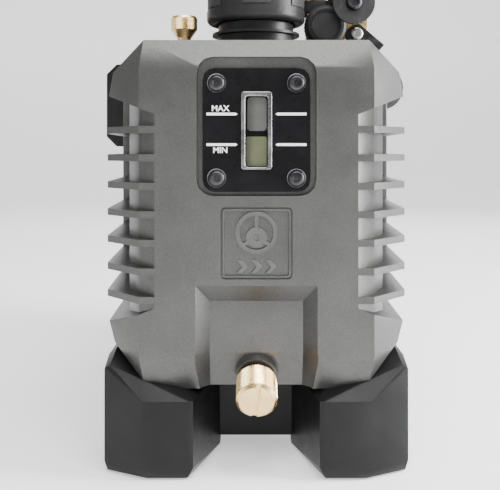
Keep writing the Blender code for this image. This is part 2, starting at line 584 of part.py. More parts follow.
# ---- intake ----
def intake_manifold():
    deck = TOP_Z + CROWN + GAP
    left, right, front, rear = MANIFOLD_LEFT, MANIFOLD_RIGHT, MANIFOLD_FRONT, MANIFOLD_REAR
    corners = [(left, BLOCK_FRONT), (left + 0.004, front), (right - 0.004, front), (right, BLOCK_FRONT)]
    corners += [(right, BLOCK_REAR), (right - 0.004, rear), (left + 0.004, rear), (left, BLOCK_REAR)]
    plan = [(x, FRONT_Y + back) for x, back in corners]
    body = prism("intake_manifold", plan, deck, deck + MANIFOLD_PLATE, across_z)
    low, inner = deck + 0.0015, TOWER_LEFT + 0.001
    block_end = at_front(inner, BLOCK_REAR, BLOCK_TOP)
    block = box("manifold_block", at_front(left + 0.003, BLOCK_FRONT, low), block_end)
    tower_end = at_front(TOWER_RIGHT, BLOCK_REAR, TOWER_TOP)
    join(body, block, box("manifold_tower", at_front(TOWER_LEFT, BLOCK_FRONT, low), tower_end))
    at = at_front(INTAKE_X, INTAKE_BACK, 0)
    join(body, rod("manifold_spigot", INTAKE_NECK_R - 0.0015, at, UP, deck - 0.012, deck + 0.001, 20))
    join(body, rod("top_port", INTAKE_NECK_R, at, UP, BLOCK_TOP - 0.0012, TOP_CAP_HIGH - PORT_INSIDE, 24))
    port = at_front(PORT_X, 0, PORT_Z)
    port_tip = PORT_CAP_FRONT + 0.0045
    join(body, rod("front_port", INTAKE_NECK_R, port, SHAFT_DIR, port_tip, BLOCK_FRONT + 0.001, 24))
    tag = at_front(TAG_X, 0, TAG_Z)
    tag_back = TAG_FRONT + TAG_THICK
    join(body, rod("tag_boss", TAG_BOSS_R, tag, SHAFT_DIR, tag_back + GAP, BLOCK_FRONT + 0.001, 16))
    cut(body, rod("top_bore", INTAKE_BORE_R, at, UP, BLOCK_TOP - 0.0102, TOP_CAP_HIGH, 16))
    cut(body, rod("front_bore", INTAKE_BORE_R, port, SHAFT_DIR, port_tip - 0.002, INTAKE_BACK + 0.001, 16))
    cut(body, rod("tag_hole", TAG_HOLE_R, tag, SHAFT_DIR, tag_back - 0.001, BLOCK_FRONT - 0.006, 12))
    ball = at_front(LEVER_X, INTAKE_BACK, LEVER_Z)
    seat = BALL_R + GAP
    cut(body, rod("ball_seat", seat, ball, SHAFT_DIR, -0.010, seat, 20))
    cut(body, rod("ball_bore", INTAKE_BORE_R, ball, Vector((1, 0, 0)), -0.012, 0.012, 16))
    return finish(body, "brass")


def port_caps():
    port = at_front(PORT_X, 0, PORT_Z)
    tip = PORT_CAP_FRONT + 0.0045
    top = at_front(INTAKE_X, INTAKE_BACK, 0)
    top_tip = TOP_CAP_HIGH - PORT_INSIDE
    front_end = -PORT_CAP_FRONT - PORT_CAP_LONG
    seal_end = PORT_SEAL_H + GAP
    for name, radius, at, axis, face, end, inner in (
        ("front_port", PORT_CAP_R, port, -SHAFT_DIR, -PORT_CAP_FRONT, front_end, -tip),
        ("top_port", TOP_CAP_R, top, UP, TOP_CAP_HIGH, TOP_CAP_LOW, top_tip),
    ):
        ring = (PORT_SEAL_R, INTAKE_NECK_R - 0.0005, at, axis, inner + GAP, inner + seal_end, 20)
        finish(tube(name + "_seal", *ring), "rubber")
        profile = [
            (0, face),
            (radius - 0.0018, face),
            (radius, face - 0.0015),
            (radius, end + 0.0008),
            (radius - 0.0008, end),
            (INTAKE_NECK_R + SLIDE_GAP, end),
            (INTAKE_NECK_R + SLIDE_GAP, inner + seal_end + GAP),
            (0, inner + seal_end + GAP),
        ]
        finish(turned(name + "_cap", profile, at, axis, 28), "black")


def tether():
    at = at_front(INTAKE_X, INTAKE_BACK, 0)
    strap = tube("cap_tether", INTAKE_NECK_R + GAP, COLLAR_R, at, UP, COLLAR_LOW, COLLAR_TOP, 32)
    tag = at_front(TAG_X, 0, TAG_Z)
    join(strap, rod("tether_tag", TAG_R, tag, SHAFT_DIR, TAG_FRONT, TAG_FRONT + TAG_THICK, 32))
    tag_side, collar_front = TAG_FRONT + 0.0005, INTAKE_BACK - COLLAR_R + 0.0035
    ends = ((TAG_X - 0.01025, tag_side), (TAG_X - 0.00475, tag_side))
    ends += ((INTAKE_X + 0.002, collar_front), (INTAKE_X + 0.009, collar_front))
    link = [(x, back, z) for z in (COLLAR_TOP - 0.0035, COLLAR_TOP - 0.0005) for x, back in ends]
    join(strap, hull("tether_link", [at_front(*point) for point in link]))
    bore = TAG_HOLE_R + SLIDE_GAP
    cut(strap, rod("tag_bore", bore, tag, SHAFT_DIR, TAG_FRONT - 0.001, TAG_FRONT + TAG_THICK + 0.001, 12))
    finish(strap, "black")
    shank, head, long, tall = TAG_SCREW_R, TAG_SCREW_HEAD_R, 0.0120, 0.0030
    profile = [
        (0, long),
        (shank, long),
        (shank, -GAP),
        (head, -GAP),
        (head, 0.0008 - tall),
        (head - 0.0006, -tall),
        (0, -tall),
    ]
    screw = turned("tether_screw", profile, at_front(TAG_X, TAG_FRONT, TAG_Z), SHAFT_DIR, 16)
    finish(screw, "dark_metal")


def valve():
    ball_at = at_front(LEVER_X, INTAKE_BACK, LEVER_Z)
    profile = [(0, BALL_R)]
    turns = [math.pi * i / 8 for i in range(1, 7)]
    profile += [(BALL_R * math.sin(turn), BALL_R * math.cos(turn)) for turn in turns]
    stem_r, stem_end = STEM_R, -STEM_LONG
    join_angle = math.pi - math.asin(stem_r / BALL_R)
    profile += [(stem_r, BALL_R * math.cos(join_angle)), (stem_r, stem_end), (0, stem_end)]
    ball = turned("valve_ball", profile, ball_at, SHAFT_DIR, 20)
    cut(ball, rod("ball_passage", 0.0025, ball_at, Vector((1, 0, 0)), -0.010, 0.010, 12))
    finish(ball, "steel")
    hub = at_front(LEVER_X, 0, LEVER_Z)
    rear = INTAKE_BACK - 0.0084
    lever = rod("valve_lever", LEVER_HUB_R, hub, SHAFT_DIR, LEVER_FRONT, rear, 24)
    start = LEVER_HUB_R - LEVER_THICK
    arm = hull("lever_arm", [
        (along, FRONT_Y + back, across)
        for along, back, across in (
            (-0.003, LEVER_FRONT, start), (-0.003, rear, start),
            (-0.003, LEVER_FRONT, LEVER_HUB_R), (-0.003, rear, LEVER_HUB_R),
            (LEVER_LONG, LEVER_FRONT - 0.001, start), (LEVER_LONG, rear, start),
            (LEVER_LONG, LEVER_FRONT - 0.001, LEVER_HUB_R), (LEVER_LONG, rear, LEVER_HUB_R),
        )
    ])
    arm.location = (LEVER_X, 0, LEVER_Z)
    arm.rotation_euler = (0, -LEVER_ANGLE, 0)
    join(lever, arm)
    bore_end = INTAKE_BACK + stem_end - GAP
    cut(lever, rod("lever_bore", stem_r + GAP, hub, SHAFT_DIR, bore_end, rear + 0.002, 16))
    cut(lever, rod("lever_hole", 0.0013, hub, SHAFT_DIR, LEVER_FRONT - 0.001, rear, 12))
    finish(lever, "black")
    profile = [
        (0, 0.0040), (0.0010, 0.0040), (0.0010, -GAP), (0.0026, -GAP), (0.0022, -0.0016), (0, -0.0020)
    ]
    screw = turned("lever_screw", profile, at_front(LEVER_X, LEVER_FRONT, LEVER_Z), SHAFT_DIR, 12)
    finish(screw, "steel")


def intake_tube():
    start_z = TOP_Z + CROWN + GAP - 0.015
    end_x, end_y = 0.012, FLANGE_FRONT - CYLINDER_LONG * 0.6
    end_z = AXIS_Z + math.sqrt(CYLINDER_R**2 - (end_x - 0.005) ** 2) + 2 * GAP
    start = Vector(at_front(INTAKE_X, INTAKE_BACK, start_z))
    end = Vector((end_x, end_y, end_z))
    rise = (start_z - end_z) / 2
    curve = bpy.data.curves.new("intake_tube", "CURVE")
    curve.dimensions = "3D"
    curve.bevel_depth, curve.bevel_resolution, curve.use_fill_caps = 0.005, 2, True
    spline = curve.splines.new("POLY")
    count = 7
    spline.points.add(count - 1)
    for i in range(count):
        t = i / (count - 1)
        a, b = start - UP * rise * min(1, 2 * t), end + UP * rise * min(1, 2 * (1 - t))
        blend = t * t * (3 - 2 * t)
        spline.points[i].co = (*a.lerp(b, blend), 1)
    finish(new_object("intake_tube", curve), "copper")


# ---- pump module ----
def pump_frame():
    half, low, top, corner = FLANGE_HALF, FLANGE_LOW, FLANGE_TOP, FLANGE_CORNER
    outline = [(half, top - corner), (half - corner, top), (corner - half, top), (-half, top - corner)]
    outline += [(-half, low + 2 * corner), (3 * corner - half, low), (half - 3 * corner, low)]
    outline += [(half, low + 2 * corner)]
    frame = prism("pump_frame", outline, FLANGE_FRONT, FLANGE_REAR, across_y)
    axis = (0, 0, AXIS_Z)
    start = FLANGE_REAR - 0.002
    join(frame, tube("bell", MOTOR_R - MOTOR_WALL, MOTOR_R, axis, SHAFT_DIR, start, BELL_REAR, 48))
    join(frame, rod("bearing_boss", BEARING_R + 0.006, axis, SHAFT_DIR, start, BELL_REAR, 32))
    seat = BELL_REAR - BEARING_WIDE - 2 * GAP
    cut(frame, rod("bearing_seat", BEARING_R + GAP, axis, SHAFT_DIR, seat, BELL_REAR + 0.001, 32))
    front, seal_end = FLANGE_FRONT - 0.001, FLANGE_FRONT + SEAL_WIDE
    cut(frame, rod("shaft_bore", SHAFT_R + 2 * SLIDE_GAP, axis, SHAFT_DIR, front, seat + 0.001, 24))
    cut(frame, rod("seal_seat", SEAL_R + GAP, axis, SHAFT_DIR, front, seal_end, 24))
    finish(frame, "cast")
    ring = (SHAFT_R + GAP, SEAL_R, axis, SHAFT_DIR, FLANGE_FRONT + GAP, seal_end - GAP, 24)
    finish(tube("shaft_seal", *ring), "rubber")


def pump_module():
    axis = (0, 0, AXIS_Z)
    low, high = FLANGE_FRONT - GAP - CYLINDER_LONG, FLANGE_FRONT - GAP
    cylinder = rod("pump_cylinder", CYLINDER_R, axis, SHAFT_DIR, low, high, 36)
    offset = (0, 0, AXIS_Z - CYLINDER_OFFSET)
    cut(cylinder, rod("cylinder_bore", CYLINDER_BORE_R, offset, SHAFT_DIR, low - 0.001, high + 0.001, 36))
    finish(cylinder, "iron")
    rotor_r = CYLINDER_BORE_R - CYLINDER_OFFSET - GAP
    rotor_low, rotor_high = low + GAP, high - GAP
    hole = SHAFT_R + GAP
    rotor = tube("pump_rotor", hole, rotor_r, axis, SHAFT_DIR, rotor_low, rotor_high, 32)
    tip = rotor_r - 0.0004
    inner = tip - VANE_TALL
    for i, side in enumerate((1, -1)):
        slot = VANE_THICK / 2 + GAP
        ends = sorted((side * (inner - GAP), side * (rotor_r + 0.002)))
        slot_low = (ends[0], rotor_low - 0.001, AXIS_Z - slot)
        cut(rotor, box(f"vane_slot_{i}", slot_low, (ends[1], rotor_high + 0.001, AXIS_Z + slot)))
        ends = sorted((side * inner, side * tip))
        vane = box(
            f"vane_{i + 1}",
            (ends[0], rotor_low, AXIS_Z - VANE_THICK / 2),
            (ends[1], rotor_high, AXIS_Z + VANE_THICK / 2),
        )
        finish(vane, "black")
    finish(rotor, "steel")
    cover_high = low - GAP
    ring = (SHAFT_R + GAP, CYLINDER_R, axis, SHAFT_DIR, cover_high - END_COVER_THICK, cover_high, 36)
    finish(tube("pump_end_cover", *ring), "iron")


# ---- motor ----
def motor():
    axis = (0, 0, AXIS_Z)
    inner = MOTOR_R - MOTOR_WALL
    hub = BEARING_R + GAP
    wall = MOTOR_REAR - 0.004
    seat = MOTOR_REAR - BEARING_WIDE - 0.002
    profile = [
        (MOTOR_R, MOTOR_REAR),
        (MOTOR_R, MOTOR_FRONT),
        (inner, MOTOR_FRONT),
        (inner, wall),
        (hub + 0.006, wall),
        (hub + 0.006, seat),
        (hub, seat),
        (hub, MOTOR_REAR),
    ]
    housing = turned("motor_housing", profile, axis, SHAFT_DIR, 48, ring=True)
    half, inset = MOTOR_FOOT_HALF, MOTOR_FOOT_INSET
    foot_top = AXIS_Z - inner + 0.020
    foot = box("motor_foot", (-half, MOTOR_FRONT + inset, KEEL_Z), (half, MOTOR_REAR - inset, foot_top))
    cut(foot, rod("foot_saddle", inner + 0.001, axis, SHAFT_DIR, MOTOR_FRONT - 0.01, MOTOR_REAR + 0.01, 48))
    join(housing, foot)
    finish(housing, "cast")
    low, high = STATOR_FRONT, STATOR_FRONT + STATOR_LONG
    outer = inner - 0.0005
    finish(tube("stator_core", STATOR_BORE_R, outer, axis, SHAFT_DIR, low, high, 36), "iron")
    inner, crown = STATOR_BORE_R + 0.003, outer - 0.005
    for name, start in (("front_winding", low - GAP - WINDING_LONG), ("rear_winding", high + GAP)):
        ring = tube(name, inner, crown, axis, SHAFT_DIR, start, start + WINDING_LONG, 32)
        finish(ring, "copper")
    rotor = tube("rotor_core", SHAFT_R + GAP, STATOR_BORE_R - ROTOR_AIR_GAP, axis, SHAFT_DIR, low, high, 32)
    finish(rotor, "iron")
    shaft_low = FLANGE_FRONT - GAP - CYLINDER_LONG - GAP - END_COVER_THICK
    shaft_high = COWL_FRONT + FAN_INSET + FAN_WIDE + 0.004
    finish(rod("motor_shaft", SHAFT_R, axis, SHAFT_DIR, shaft_low, shaft_high, 24), "steel")
    for name, high in (("front_bearing", BELL_REAR - GAP), ("rear_bearing", MOTOR_REAR - 0.001)):
        ring = tube(name, SHAFT_R + GAP, BEARING_R, axis, SHAFT_DIR, high - BEARING_WIDE, high, 28)
        finish(ring, "steel")


def cooling_fan():
    axis = (0, 0, AXIS_Z)
    low, half = COWL_FRONT + FAN_INSET, 0.0012
    high = low + FAN_WIDE
    fan = tube("cooling_fan", SHAFT_R + GAP, FAN_HUB_R, axis, SHAFT_DIR, low, high, 28)
    for i in range(FAN_BLADES):
        root = (-half, low + 0.001, FAN_HUB_R - 0.002)
        blade = box(f"fan_blade_{i}", root, (half, high - 0.001, FAN_R))
        blade.rotation_euler = (0, math.tau * i / FAN_BLADES, 0)
        blade.location = axis
        join(fan, blade)
    return finish(fan, "black")


def fan_cowl():
    axis = (0, 0, AXIS_Z)
    profile = [
        (0, COWL_REAR),
        (COWL_R - 0.012, COWL_REAR),
        (COWL_R, COWL_REAR - 0.010),
        (COWL_R, COWL_FRONT),
        (COWL_R - COWL_WALL, COWL_FRONT),
        (COWL_R - COWL_WALL, COWL_REAR - 0.010),
        (COWL_R - 0.013, COWL_REAR - COWL_WALL),
        (0, COWL_REAR - COWL_WALL),
    ]
    cowl = turned("fan_cowl", profile, axis, SHAFT_DIR, 48)
    reach, pitch, wide = COWL_R - 0.016, 0.0120, 0.0060
    count = int(reach / pitch)
    for i in range(-count, count + 1):
        x = i * pitch
        tall = math.sqrt(reach**2 - x**2) - 0.002
        if tall < 0.008:
            continue
        low = (x - wide / 2, COWL_REAR - COWL_WALL - 0.002, AXIS_Z - tall)
        slot = box(f"grille_slot_{i + count}", low, (x + wide / 2, COWL_REAR + 0.002, AXIS_Z + tall))
        cut(cowl, slot)
    return finish(cowl, "black")


# ---- side boxes ----
def saddle(name, low, high):
    return rod(name, MOTOR_R + GAP, (0, 0, AXIS_Z), SHAFT_DIR, low - 0.002, high + 0.002, 48)


def switch_box():
    low, high = FLANGE_REAR + GAP, FLANGE_REAR + GAP + BOX_LONG
    out, base, top, corner = -BOX_OUT, BOX_LOW, BOX_TOP, BOX_CORNER
    outline = [(out, base + corner), (out, top - corner), (out + corner, top), (-BOX_IN, top)]
    outline += [(-BOX_IN, base), (out + corner, base)]
    cover = prism("switch_box", outline, low, high, across_y)
    cut(cover, saddle("box_saddle", low, high))
    wall = BOX_WALL
    inside = ((out + wall + 0.002, low + wall, base + wall), (-BOX_IN - wall, high - wall, top - wall))
    cut(cover, box("box_inside", *inside))
    for name, y, z, wide, tall in (
        ("rocker_hole", ROCKER_Y, ROCKER_Z, ROCKER_HALF_WIDE + 2 * GAP, ROCKER_HALF_TALL + 0.0010),
        ("inlet_hole", INLET_Y, INLET_Z, INLET_HALF_WIDE + GAP, INLET_HALF_TALL + GAP),
    ):
        cut(cover, box(name, (out - 0.001, y - wide, z - tall), (out + 0.010, y + wide, z + tall)))
    return finish(cover, "black")


def rocker_switch():
    tall, deep = ROCKER_HALF_TALL, 0.0060
    face = -0.0052
    outline = [(face - 0.0016, tall - 0.0008), (face, 0.0), (face - 0.0016, 0.0008 - tall)]
    outline += [(deep - 0.0040, -0.0075), (deep - 0.0020, 0.0), (deep - 0.0040, 0.0075)]
    wide = ROCKER_HALF_WIDE
    rocker = prism("rocker_switch", outline, -wide, wide, across_y)
    rocker.location = (-BOX_OUT + 0.0068 + 0.0018, ROCKER_Y, ROCKER_Z)
    rocker.rotation_euler = (0, ROCKER_TILT, 0)
    return finish(rocker, "black")


def power_inlet():
    out = -BOX_OUT + 0.0004
    low = (out, INLET_Y - INLET_HALF_WIDE, INLET_Z - INLET_HALF_TALL)
    high = (out + INLET_DEEP, INLET_Y + INLET_HALF_WIDE, INLET_Z + INLET_HALF_TALL)
    inlet = box("power_inlet", low, high)
    rim = 0.0020
    cut(inlet, box(
        "inlet_socket",
        (out - 0.001, low[1] + rim, low[2] + rim),
        (out + INLET_DEEP - 0.003, high[1] - rim, high[2] - rim),
    ))
    for i, (y, z) in enumerate(((-0.007, -0.002), (0.0, 0.003), (0.007, -0.002))):
        middle = (out + 0.003, INLET_Y + y, INLET_Z + z)
        pin = box(
            f"inlet_pin_{i}",
            (middle[0], middle[1] - 0.0010, middle[2] - 0.0020),
            (out + INLET_DEEP - 0.002, middle[1] + 0.0010, middle[2] + 0.0020),
        )
        join(inlet, pin)
    return finish(inlet, "black")


def capacitor_cover():
    low, high = FLANGE_REAR + GAP, FLANGE_REAR + GAP + BOSS_LONG
    middle = (BOX_OUT - BOSS_R, 0, BOX_TOP - 0.001 - BOSS_R)
    cover = rod("capacitor_cover", BOSS_R, middle, SHAFT_DIR, low, high, 32)
    inner = 0.050
    foot = [(middle[0] + 0.005, middle[2] - 0.0125), (middle[0] + 0.002, middle[2] + 0.0140)]
    foot += [(inner, middle[2] + 0.0085), (inner, MOTOR_TOP - 0.023), (inner + 0.010, MOTOR_TOP - 0.035)]
    saddle_foot = prism("cover_foot", foot, low, high, across_y)
    cut(saddle_foot, saddle("cover_saddle", low, high))
    join(cover, saddle_foot)
    bore = BOSS_R - 0.0022
    cut(cover, rod("cover_bore", bore, middle, SHAFT_DIR, low + 0.004, high - 0.004, 28))
    half, centre = 0.006, (low + high) / 2
    wire_low = (inner - 0.005, centre - half, middle[2] - 0.010)
    cut(cover, box("wire_way", wire_low, (middle[0], centre + half, middle[2] - 0.004)))
    finish(cover, "cast")
    can = rod("capacitor", bore - GAP, middle, SHAFT_DIR, low + 0.006, high - 0.006, 24)
    finish(can, "steel")


# ---- base ----
def foot_points(rear):
    """One front foot's corners, as half width, depth from the front and height; rear is where it ends."""
    chamfer, front_top = FOOT_CHAMFER, FOOT_FRONT_TOP
    return [
        (FOOT_IN + 0.003, 0.0, chamfer), (FOOT_HALF_FRONT, 0.0, chamfer),
        (FOOT_IN + 0.003, 0.0, front_top), (FOOT_HALF_FRONT, 0.0, front_top),
        (FOOT_IN, 0.0012, chamfer), (FOOT_IN, 0.0012, front_top),
        (FOOT_OUT, 0.0116, chamfer), (FOOT_OUT, 0.0116, 0.0540), (FOOT_OUT - 0.003, 0.0116, 0.0560),
        (FOOT_OUT - 0.0044, 0.0250, FOOT_TOP), (FOOT_OUT, 0.0250, FOOT_TOP - 0.004),
        (FOOT_IN + 0.006, 0.0250, 0.0500),
        (FOOT_IN + 0.003, 0.0030, PAD_PROUD), (FOOT_HALF_FRONT - 0.002, 0.0030, PAD_PROUD),
        (FOOT_OUT - 0.0011, 0.0140, PAD_PROUD),
        (0.0200, FOOT_LONG, PAD_PROUD), (0.0200, FOOT_LONG, 0.0440), (0.0200, rear, PAD_PROUD),
        (0.0200, rear, 0.0440), (FOOT_OUT - 0.0011, rear, PAD_PROUD), (FOOT_OUT, rear, chamfer),
        (FOOT_OUT, rear, FOOT_TOP - 0.004), (FOOT_OUT - 0.0044, rear, FOOT_TOP), (0.030, rear, 0.0500),
    ]


def foot_pad_places():
    front = FRONT_Y + PAD_INSET
    rear = FRONT_Y + BASE_LONG - PAD_INSET
    return [(x, y) for y in (front, rear) for x in (-PAD_X, PAD_X)]


def base():
    long, half = BASE_LONG, DECK_HALF
    deck_low = DECK_TOP - DECK_THICK
    deck = box("base", at_front(-half, FOOT_LONG - 0.004, deck_low), at_front(half, long - 0.020, DECK_TOP))
    corners = foot_points(FOOT_LONG + 0.008)
    for side, word in ((1, "right"), (-1, "left")):
        join(deck, hull(f"front_foot_{word}", [at_front(side * x, back, z) for x, back, z in corners]))
        join(deck, hull(f"rear_foot_{word}", [at_front(side * x, long - back, z) for x, back, z in corners]))
        near, far = sorted((side * (half - 0.004), side * (FOOT_OUT - 0.001)))
        rail_low = at_front(near, FOOT_LONG, RAIL_LOW)
        join(deck, box(f"rail_{word}", rail_low, at_front(far, long - FOOT_LONG, RAIL_TOP)))
    wall_half = 0.021
    wall_low = at_front(-wall_half, FOOT_LONG - 0.001, 0.006)
    join(deck, box("cross_wall", wall_low, at_front(wall_half, FOOT_LONG + 0.007, deck_low + 0.004)))
    cut(deck, reservoir_block("base_clearance", 2 * GAP))
    clear_low, clear_high = FLANGE_FRONT - 0.003, FLANGE_REAR + 0.0006
    flange = FLANGE_HALF + GAP
    cut(deck, box("flange_clearance", (-flange, clear_low, DECK_TOP), (flange, clear_high, 0.070)))
    inset = MOTOR_FOOT_INSET - 2 * GAP
    foot = MOTOR_FOOT_HALF + 2 * GAP
    foot_low = (-foot, MOTOR_FRONT + inset, DECK_TOP)
    cut(deck, box("foot_clearance", foot_low, (foot, MOTOR_REAR - inset, DECK_TOP + 0.036)))
    axis, far = (0, 0, AXIS_Z), COWL_REAR + 0.020
    cut(deck, rod("motor_clearance", MOTOR_R + 0.001, axis, SHAFT_DIR, FLANGE_REAR, far, 48))
    cut(deck, rod("cowl_clearance", COWL_R + 0.001, axis, SHAFT_DIR, COWL_FRONT - 0.002, far, 48))
    seat = PAD_PROUD + PAD_DEEP
    profile = [(0, seat - GAP), (PAD_R, seat - GAP), (PAD_R, 0.0004), (PAD_R - 0.0006, 0), (0, 0)]
    for i, (x, y) in enumerate(foot_pad_places()):
        cut(deck, rod(f"pad_seat_{i}", PAD_R + GAP, (x, y, 0), UP, -0.001, seat, 20))
        finish(turned(f"foot_pad_{i + 1}", profile, (x, y, 0), UP, 20), "rubber")
    return finish(deck, "black")


# ---- handle ----
def handle():
    half, top = HANDLE_HALF, HANDLE_TOP
    front = FLANGE_FRONT
    rear = front + HANDLE_LONG
    bar_low = top - HANDLE_THICK
    bar = box("handle", (-half, front, bar_low), (half, rear, top))
    lean, post_low = HANDLE_LEAN, MOTOR_TOP - 0.015
    join(bar, hull("front_post", both_sides([
        (half, front, FLANGE_TOP + GAP), (half, FLANGE_REAR, FLANGE_TOP + GAP),
        (half, front, top), (half, front + POST_LONG, top),
        (half, front + POST_LONG, bar_low),
    ])))
    post = hull("rear_post", both_sides([
        (half, rear - POST_LONG + lean, post_low), (half, rear + lean, post_low),
        (half, rear - POST_LONG, top), (half, rear, top),
    ]))
    cut(post, saddle("post_saddle", MOTOR_FRONT, MOTOR_REAR))
    join(bar, post)
    finish(bar, "black")
    middle = (front + rear) / 2
    low, high = middle - GRIP_LONG / 2, middle + GRIP_LONG / 2
    skin = GRIP_SKIN + GAP
    outline = round_corners(half + skin, bar_low - skin, top + skin, 0.006)
    grip = prism("handle_grip", outline, low, high, across_y)
    bore_low = (-half - GAP, low - 0.001, bar_low - GAP)
    cut(grip, box("grip_bore", bore_low, (half + GAP, high + 0.001, top + GAP)))
    finish(grip, "rubber")


start_scene()
oil_reservoir()
reservoir_gasket()
sight_glass()
drain()
exhaust()
gas_ballast()
intake_manifold()
port_caps()
tether()
valve()
intake_tube()
pump_frame()
pump_module()
motor()
cooling_fan()
fan_cowl()
switch_box()
rocker_switch()
power_inlet()
capacitor_cover()
base()
handle()
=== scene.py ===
import json
import math

import bpy
from mathutils import Matrix, Vector


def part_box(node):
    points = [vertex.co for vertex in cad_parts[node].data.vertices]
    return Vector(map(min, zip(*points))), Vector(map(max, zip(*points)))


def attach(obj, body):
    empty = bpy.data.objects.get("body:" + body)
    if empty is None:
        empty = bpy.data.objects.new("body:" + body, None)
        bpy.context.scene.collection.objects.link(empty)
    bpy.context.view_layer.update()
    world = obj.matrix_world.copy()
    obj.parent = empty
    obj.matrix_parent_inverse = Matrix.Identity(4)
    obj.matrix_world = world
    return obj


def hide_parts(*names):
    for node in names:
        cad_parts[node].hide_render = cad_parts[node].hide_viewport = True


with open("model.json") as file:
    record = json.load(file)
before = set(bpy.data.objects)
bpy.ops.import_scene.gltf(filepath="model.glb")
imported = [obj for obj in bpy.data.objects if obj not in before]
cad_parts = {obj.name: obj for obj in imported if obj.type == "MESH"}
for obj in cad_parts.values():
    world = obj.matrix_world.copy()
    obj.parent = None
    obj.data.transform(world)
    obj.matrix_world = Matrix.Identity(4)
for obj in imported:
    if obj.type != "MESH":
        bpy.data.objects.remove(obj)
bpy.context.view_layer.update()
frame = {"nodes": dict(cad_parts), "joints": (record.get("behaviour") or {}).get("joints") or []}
print("frame loaded,", len(frame["nodes"]), "nodes")


# hand tools
def deselect():
    if bpy.context.mode != "OBJECT":
        bpy.ops.object.mode_set(mode="OBJECT")
    bpy.ops.object.select_all(action="DESELECT")


def pick(obj):
    deselect()
    obj.select_set(True)
    bpy.context.view_layer.objects.active = obj
    return obj


def edit(obj, kind="FACE", action="SELECT"):
    pick(obj)
    bpy.ops.object.mode_set(mode="EDIT")
    bpy.ops.mesh.select_mode(type=kind)
    bpy.ops.mesh.select_all(action=action)


def leave():
    bpy.ops.object.mode_set(mode="OBJECT")


def selectFaces(obj, test):
    # picks faces by their centre and normal, and goes back to edit mode
    edit(obj, "FACE", "DESELECT")
    leave()
    for face in obj.data.polygons:
        face.select = test(face.center, face.normal)
    bpy.ops.object.mode_set(mode="EDIT")


def settle(obj, name):
    obj.name = obj.data.name = name
    pick(obj)
    bpy.ops.object.transform_apply(location=True, rotation=True, scale=True)
    return obj


def block(name, low, high):
    deselect()
    low, high = Vector(low), Vector(high)
    bpy.ops.mesh.primitive_cube_add(size=1, location=(low + high) / 2)
    bpy.ops.transform.resize(value=high - low)
    return settle(bpy.context.active_object, name)


def aim(obj, centre, axis):
    # turns a shape made round Z onto another axis, and moves it to its centre
    turn = Vector((0, 0, 1)).rotation_difference(Vector(axis)).to_matrix().to_4x4()
    obj.matrix_world = Matrix.Translation(Vector(centre)) @ turn
    return settle(obj, obj.name)


def drum(name, radius, low, high, centre, axis=(0, 0, 1), sides=48):
    deselect()
    bpy.ops.mesh.primitive_cylinder_add(
        vertices=sides, radius=radius, depth=high - low, location=(0, 0, (low + high) / 2)
    )
    obj = settle(bpy.context.active_object, name)
    return aim(obj, centre, axis)


def lathe(name, profile, centre, axis=(0, 0, 1), sides=64, closed=False):
    # one vertex is extruded along the profile, then spun round Z
    deselect()
    bpy.ops.mesh.primitive_plane_add(size=0.001, location=(0, 0, 0))
    obj = bpy.context.active_object
    edit(obj, "VERT")
    bpy.ops.mesh.merge(type="CENTER")
    bpy.ops.transform.translate(value=(profile[0][0], 0, profile[0][1]))
    loop = list(profile) + ([profile[0]] if closed else [])
    for (r0, z0), (r1, z1) in zip(loop, loop[1:]):
        bpy.ops.mesh.extrude_region_move(TRANSFORM_OT_translate={"value": (r1 - r0, 0, z1 - z0)})
    bpy.ops.mesh.select_all(action="SELECT")
    bpy.ops.mesh.spin(steps=sides, angle=math.tau, center=(0, 0, 0), axis=(0, 0, 1))
    bpy.ops.mesh.select_all(action="SELECT")
    bpy.ops.mesh.remove_doubles(threshold=1e-6)
    bpy.ops.mesh.normals_make_consistent(inside=False)
    leave()
    obj.name = name
    return aim(obj, centre, axis)


def plate(name, outline, low, high, place):
    # a flat ngon laid on the outline, drawn out from low to high; place gives x, y, z
    deselect()
    bpy.ops.mesh.primitive_circle_add(vertices=len(outline), radius=0.01, fill_type="NGON")
    obj = bpy.context.active_object
    for vert, (a, b) in zip(obj.data.vertices, outline):
        vert.co = place(a, b, low)
    step = Vector(place(0, 0, high)) - Vector(place(0, 0, low))
    edit(obj)
    bpy.ops.mesh.extrude_region_move(TRANSFORM_OT_translate={"value": step})
    bpy.ops.mesh.select_all(action="SELECT")
    bpy.ops.mesh.normals_make_consistent(inside=False)
    leave()
    return settle(obj, name)


def facing(a, b, c):
    return (a, c, b)


def lying(a, b, c):
    return (a, b, c)


def roundRect(left, right, low, top, radius, steps=6):
    points = []
    corners = ((right, top, 0), (left, top, 1), (left, low, 2), (right, low, 3))
    for x, z, quarter in corners:
        cx = x - radius if x == right else x + radius
        cz = z - radius if z == top else z + radius
        for i in range(steps + 1):
            angle = (quarter + i / steps) * math.pi / 2
            points.append((cx + radius * math.cos(angle), cz + radius * math.sin(angle)))
    return points


def addModifier(obj, kind, **settings):
    modifier = obj.modifiers.new(kind.title(), kind)
    for key, value in settings.items():
        setattr(modifier, key, value)
    pick(obj)
    bpy.ops.object.modifier_apply(modifier=modifier.name)
    return obj


def bevel(obj, width, segments=2, degrees=30, clamp=True):
    return addModifier(
        obj, "BEVEL", width=width, segments=segments, limit_method="ANGLE",
        angle_limit=math.radians(degrees), use_clamp_overlap=clamp, miter_outer="MITER_ARC",
    )


def carve(obj, cutter, operation="DIFFERENCE"):
    addModifier(obj, "BOOLEAN", operation=operation, object=cutter, solver="EXACT")
    bpy.data.objects.remove(cutter)
    return obj


def weld(first, *others):
    # loose shells of one piece kept in one object
    deselect()
    for obj in (first, *others):
        obj.select_set(True)
    bpy.context.view_layer.objects.active = first
    bpy.ops.object.join()
    return first


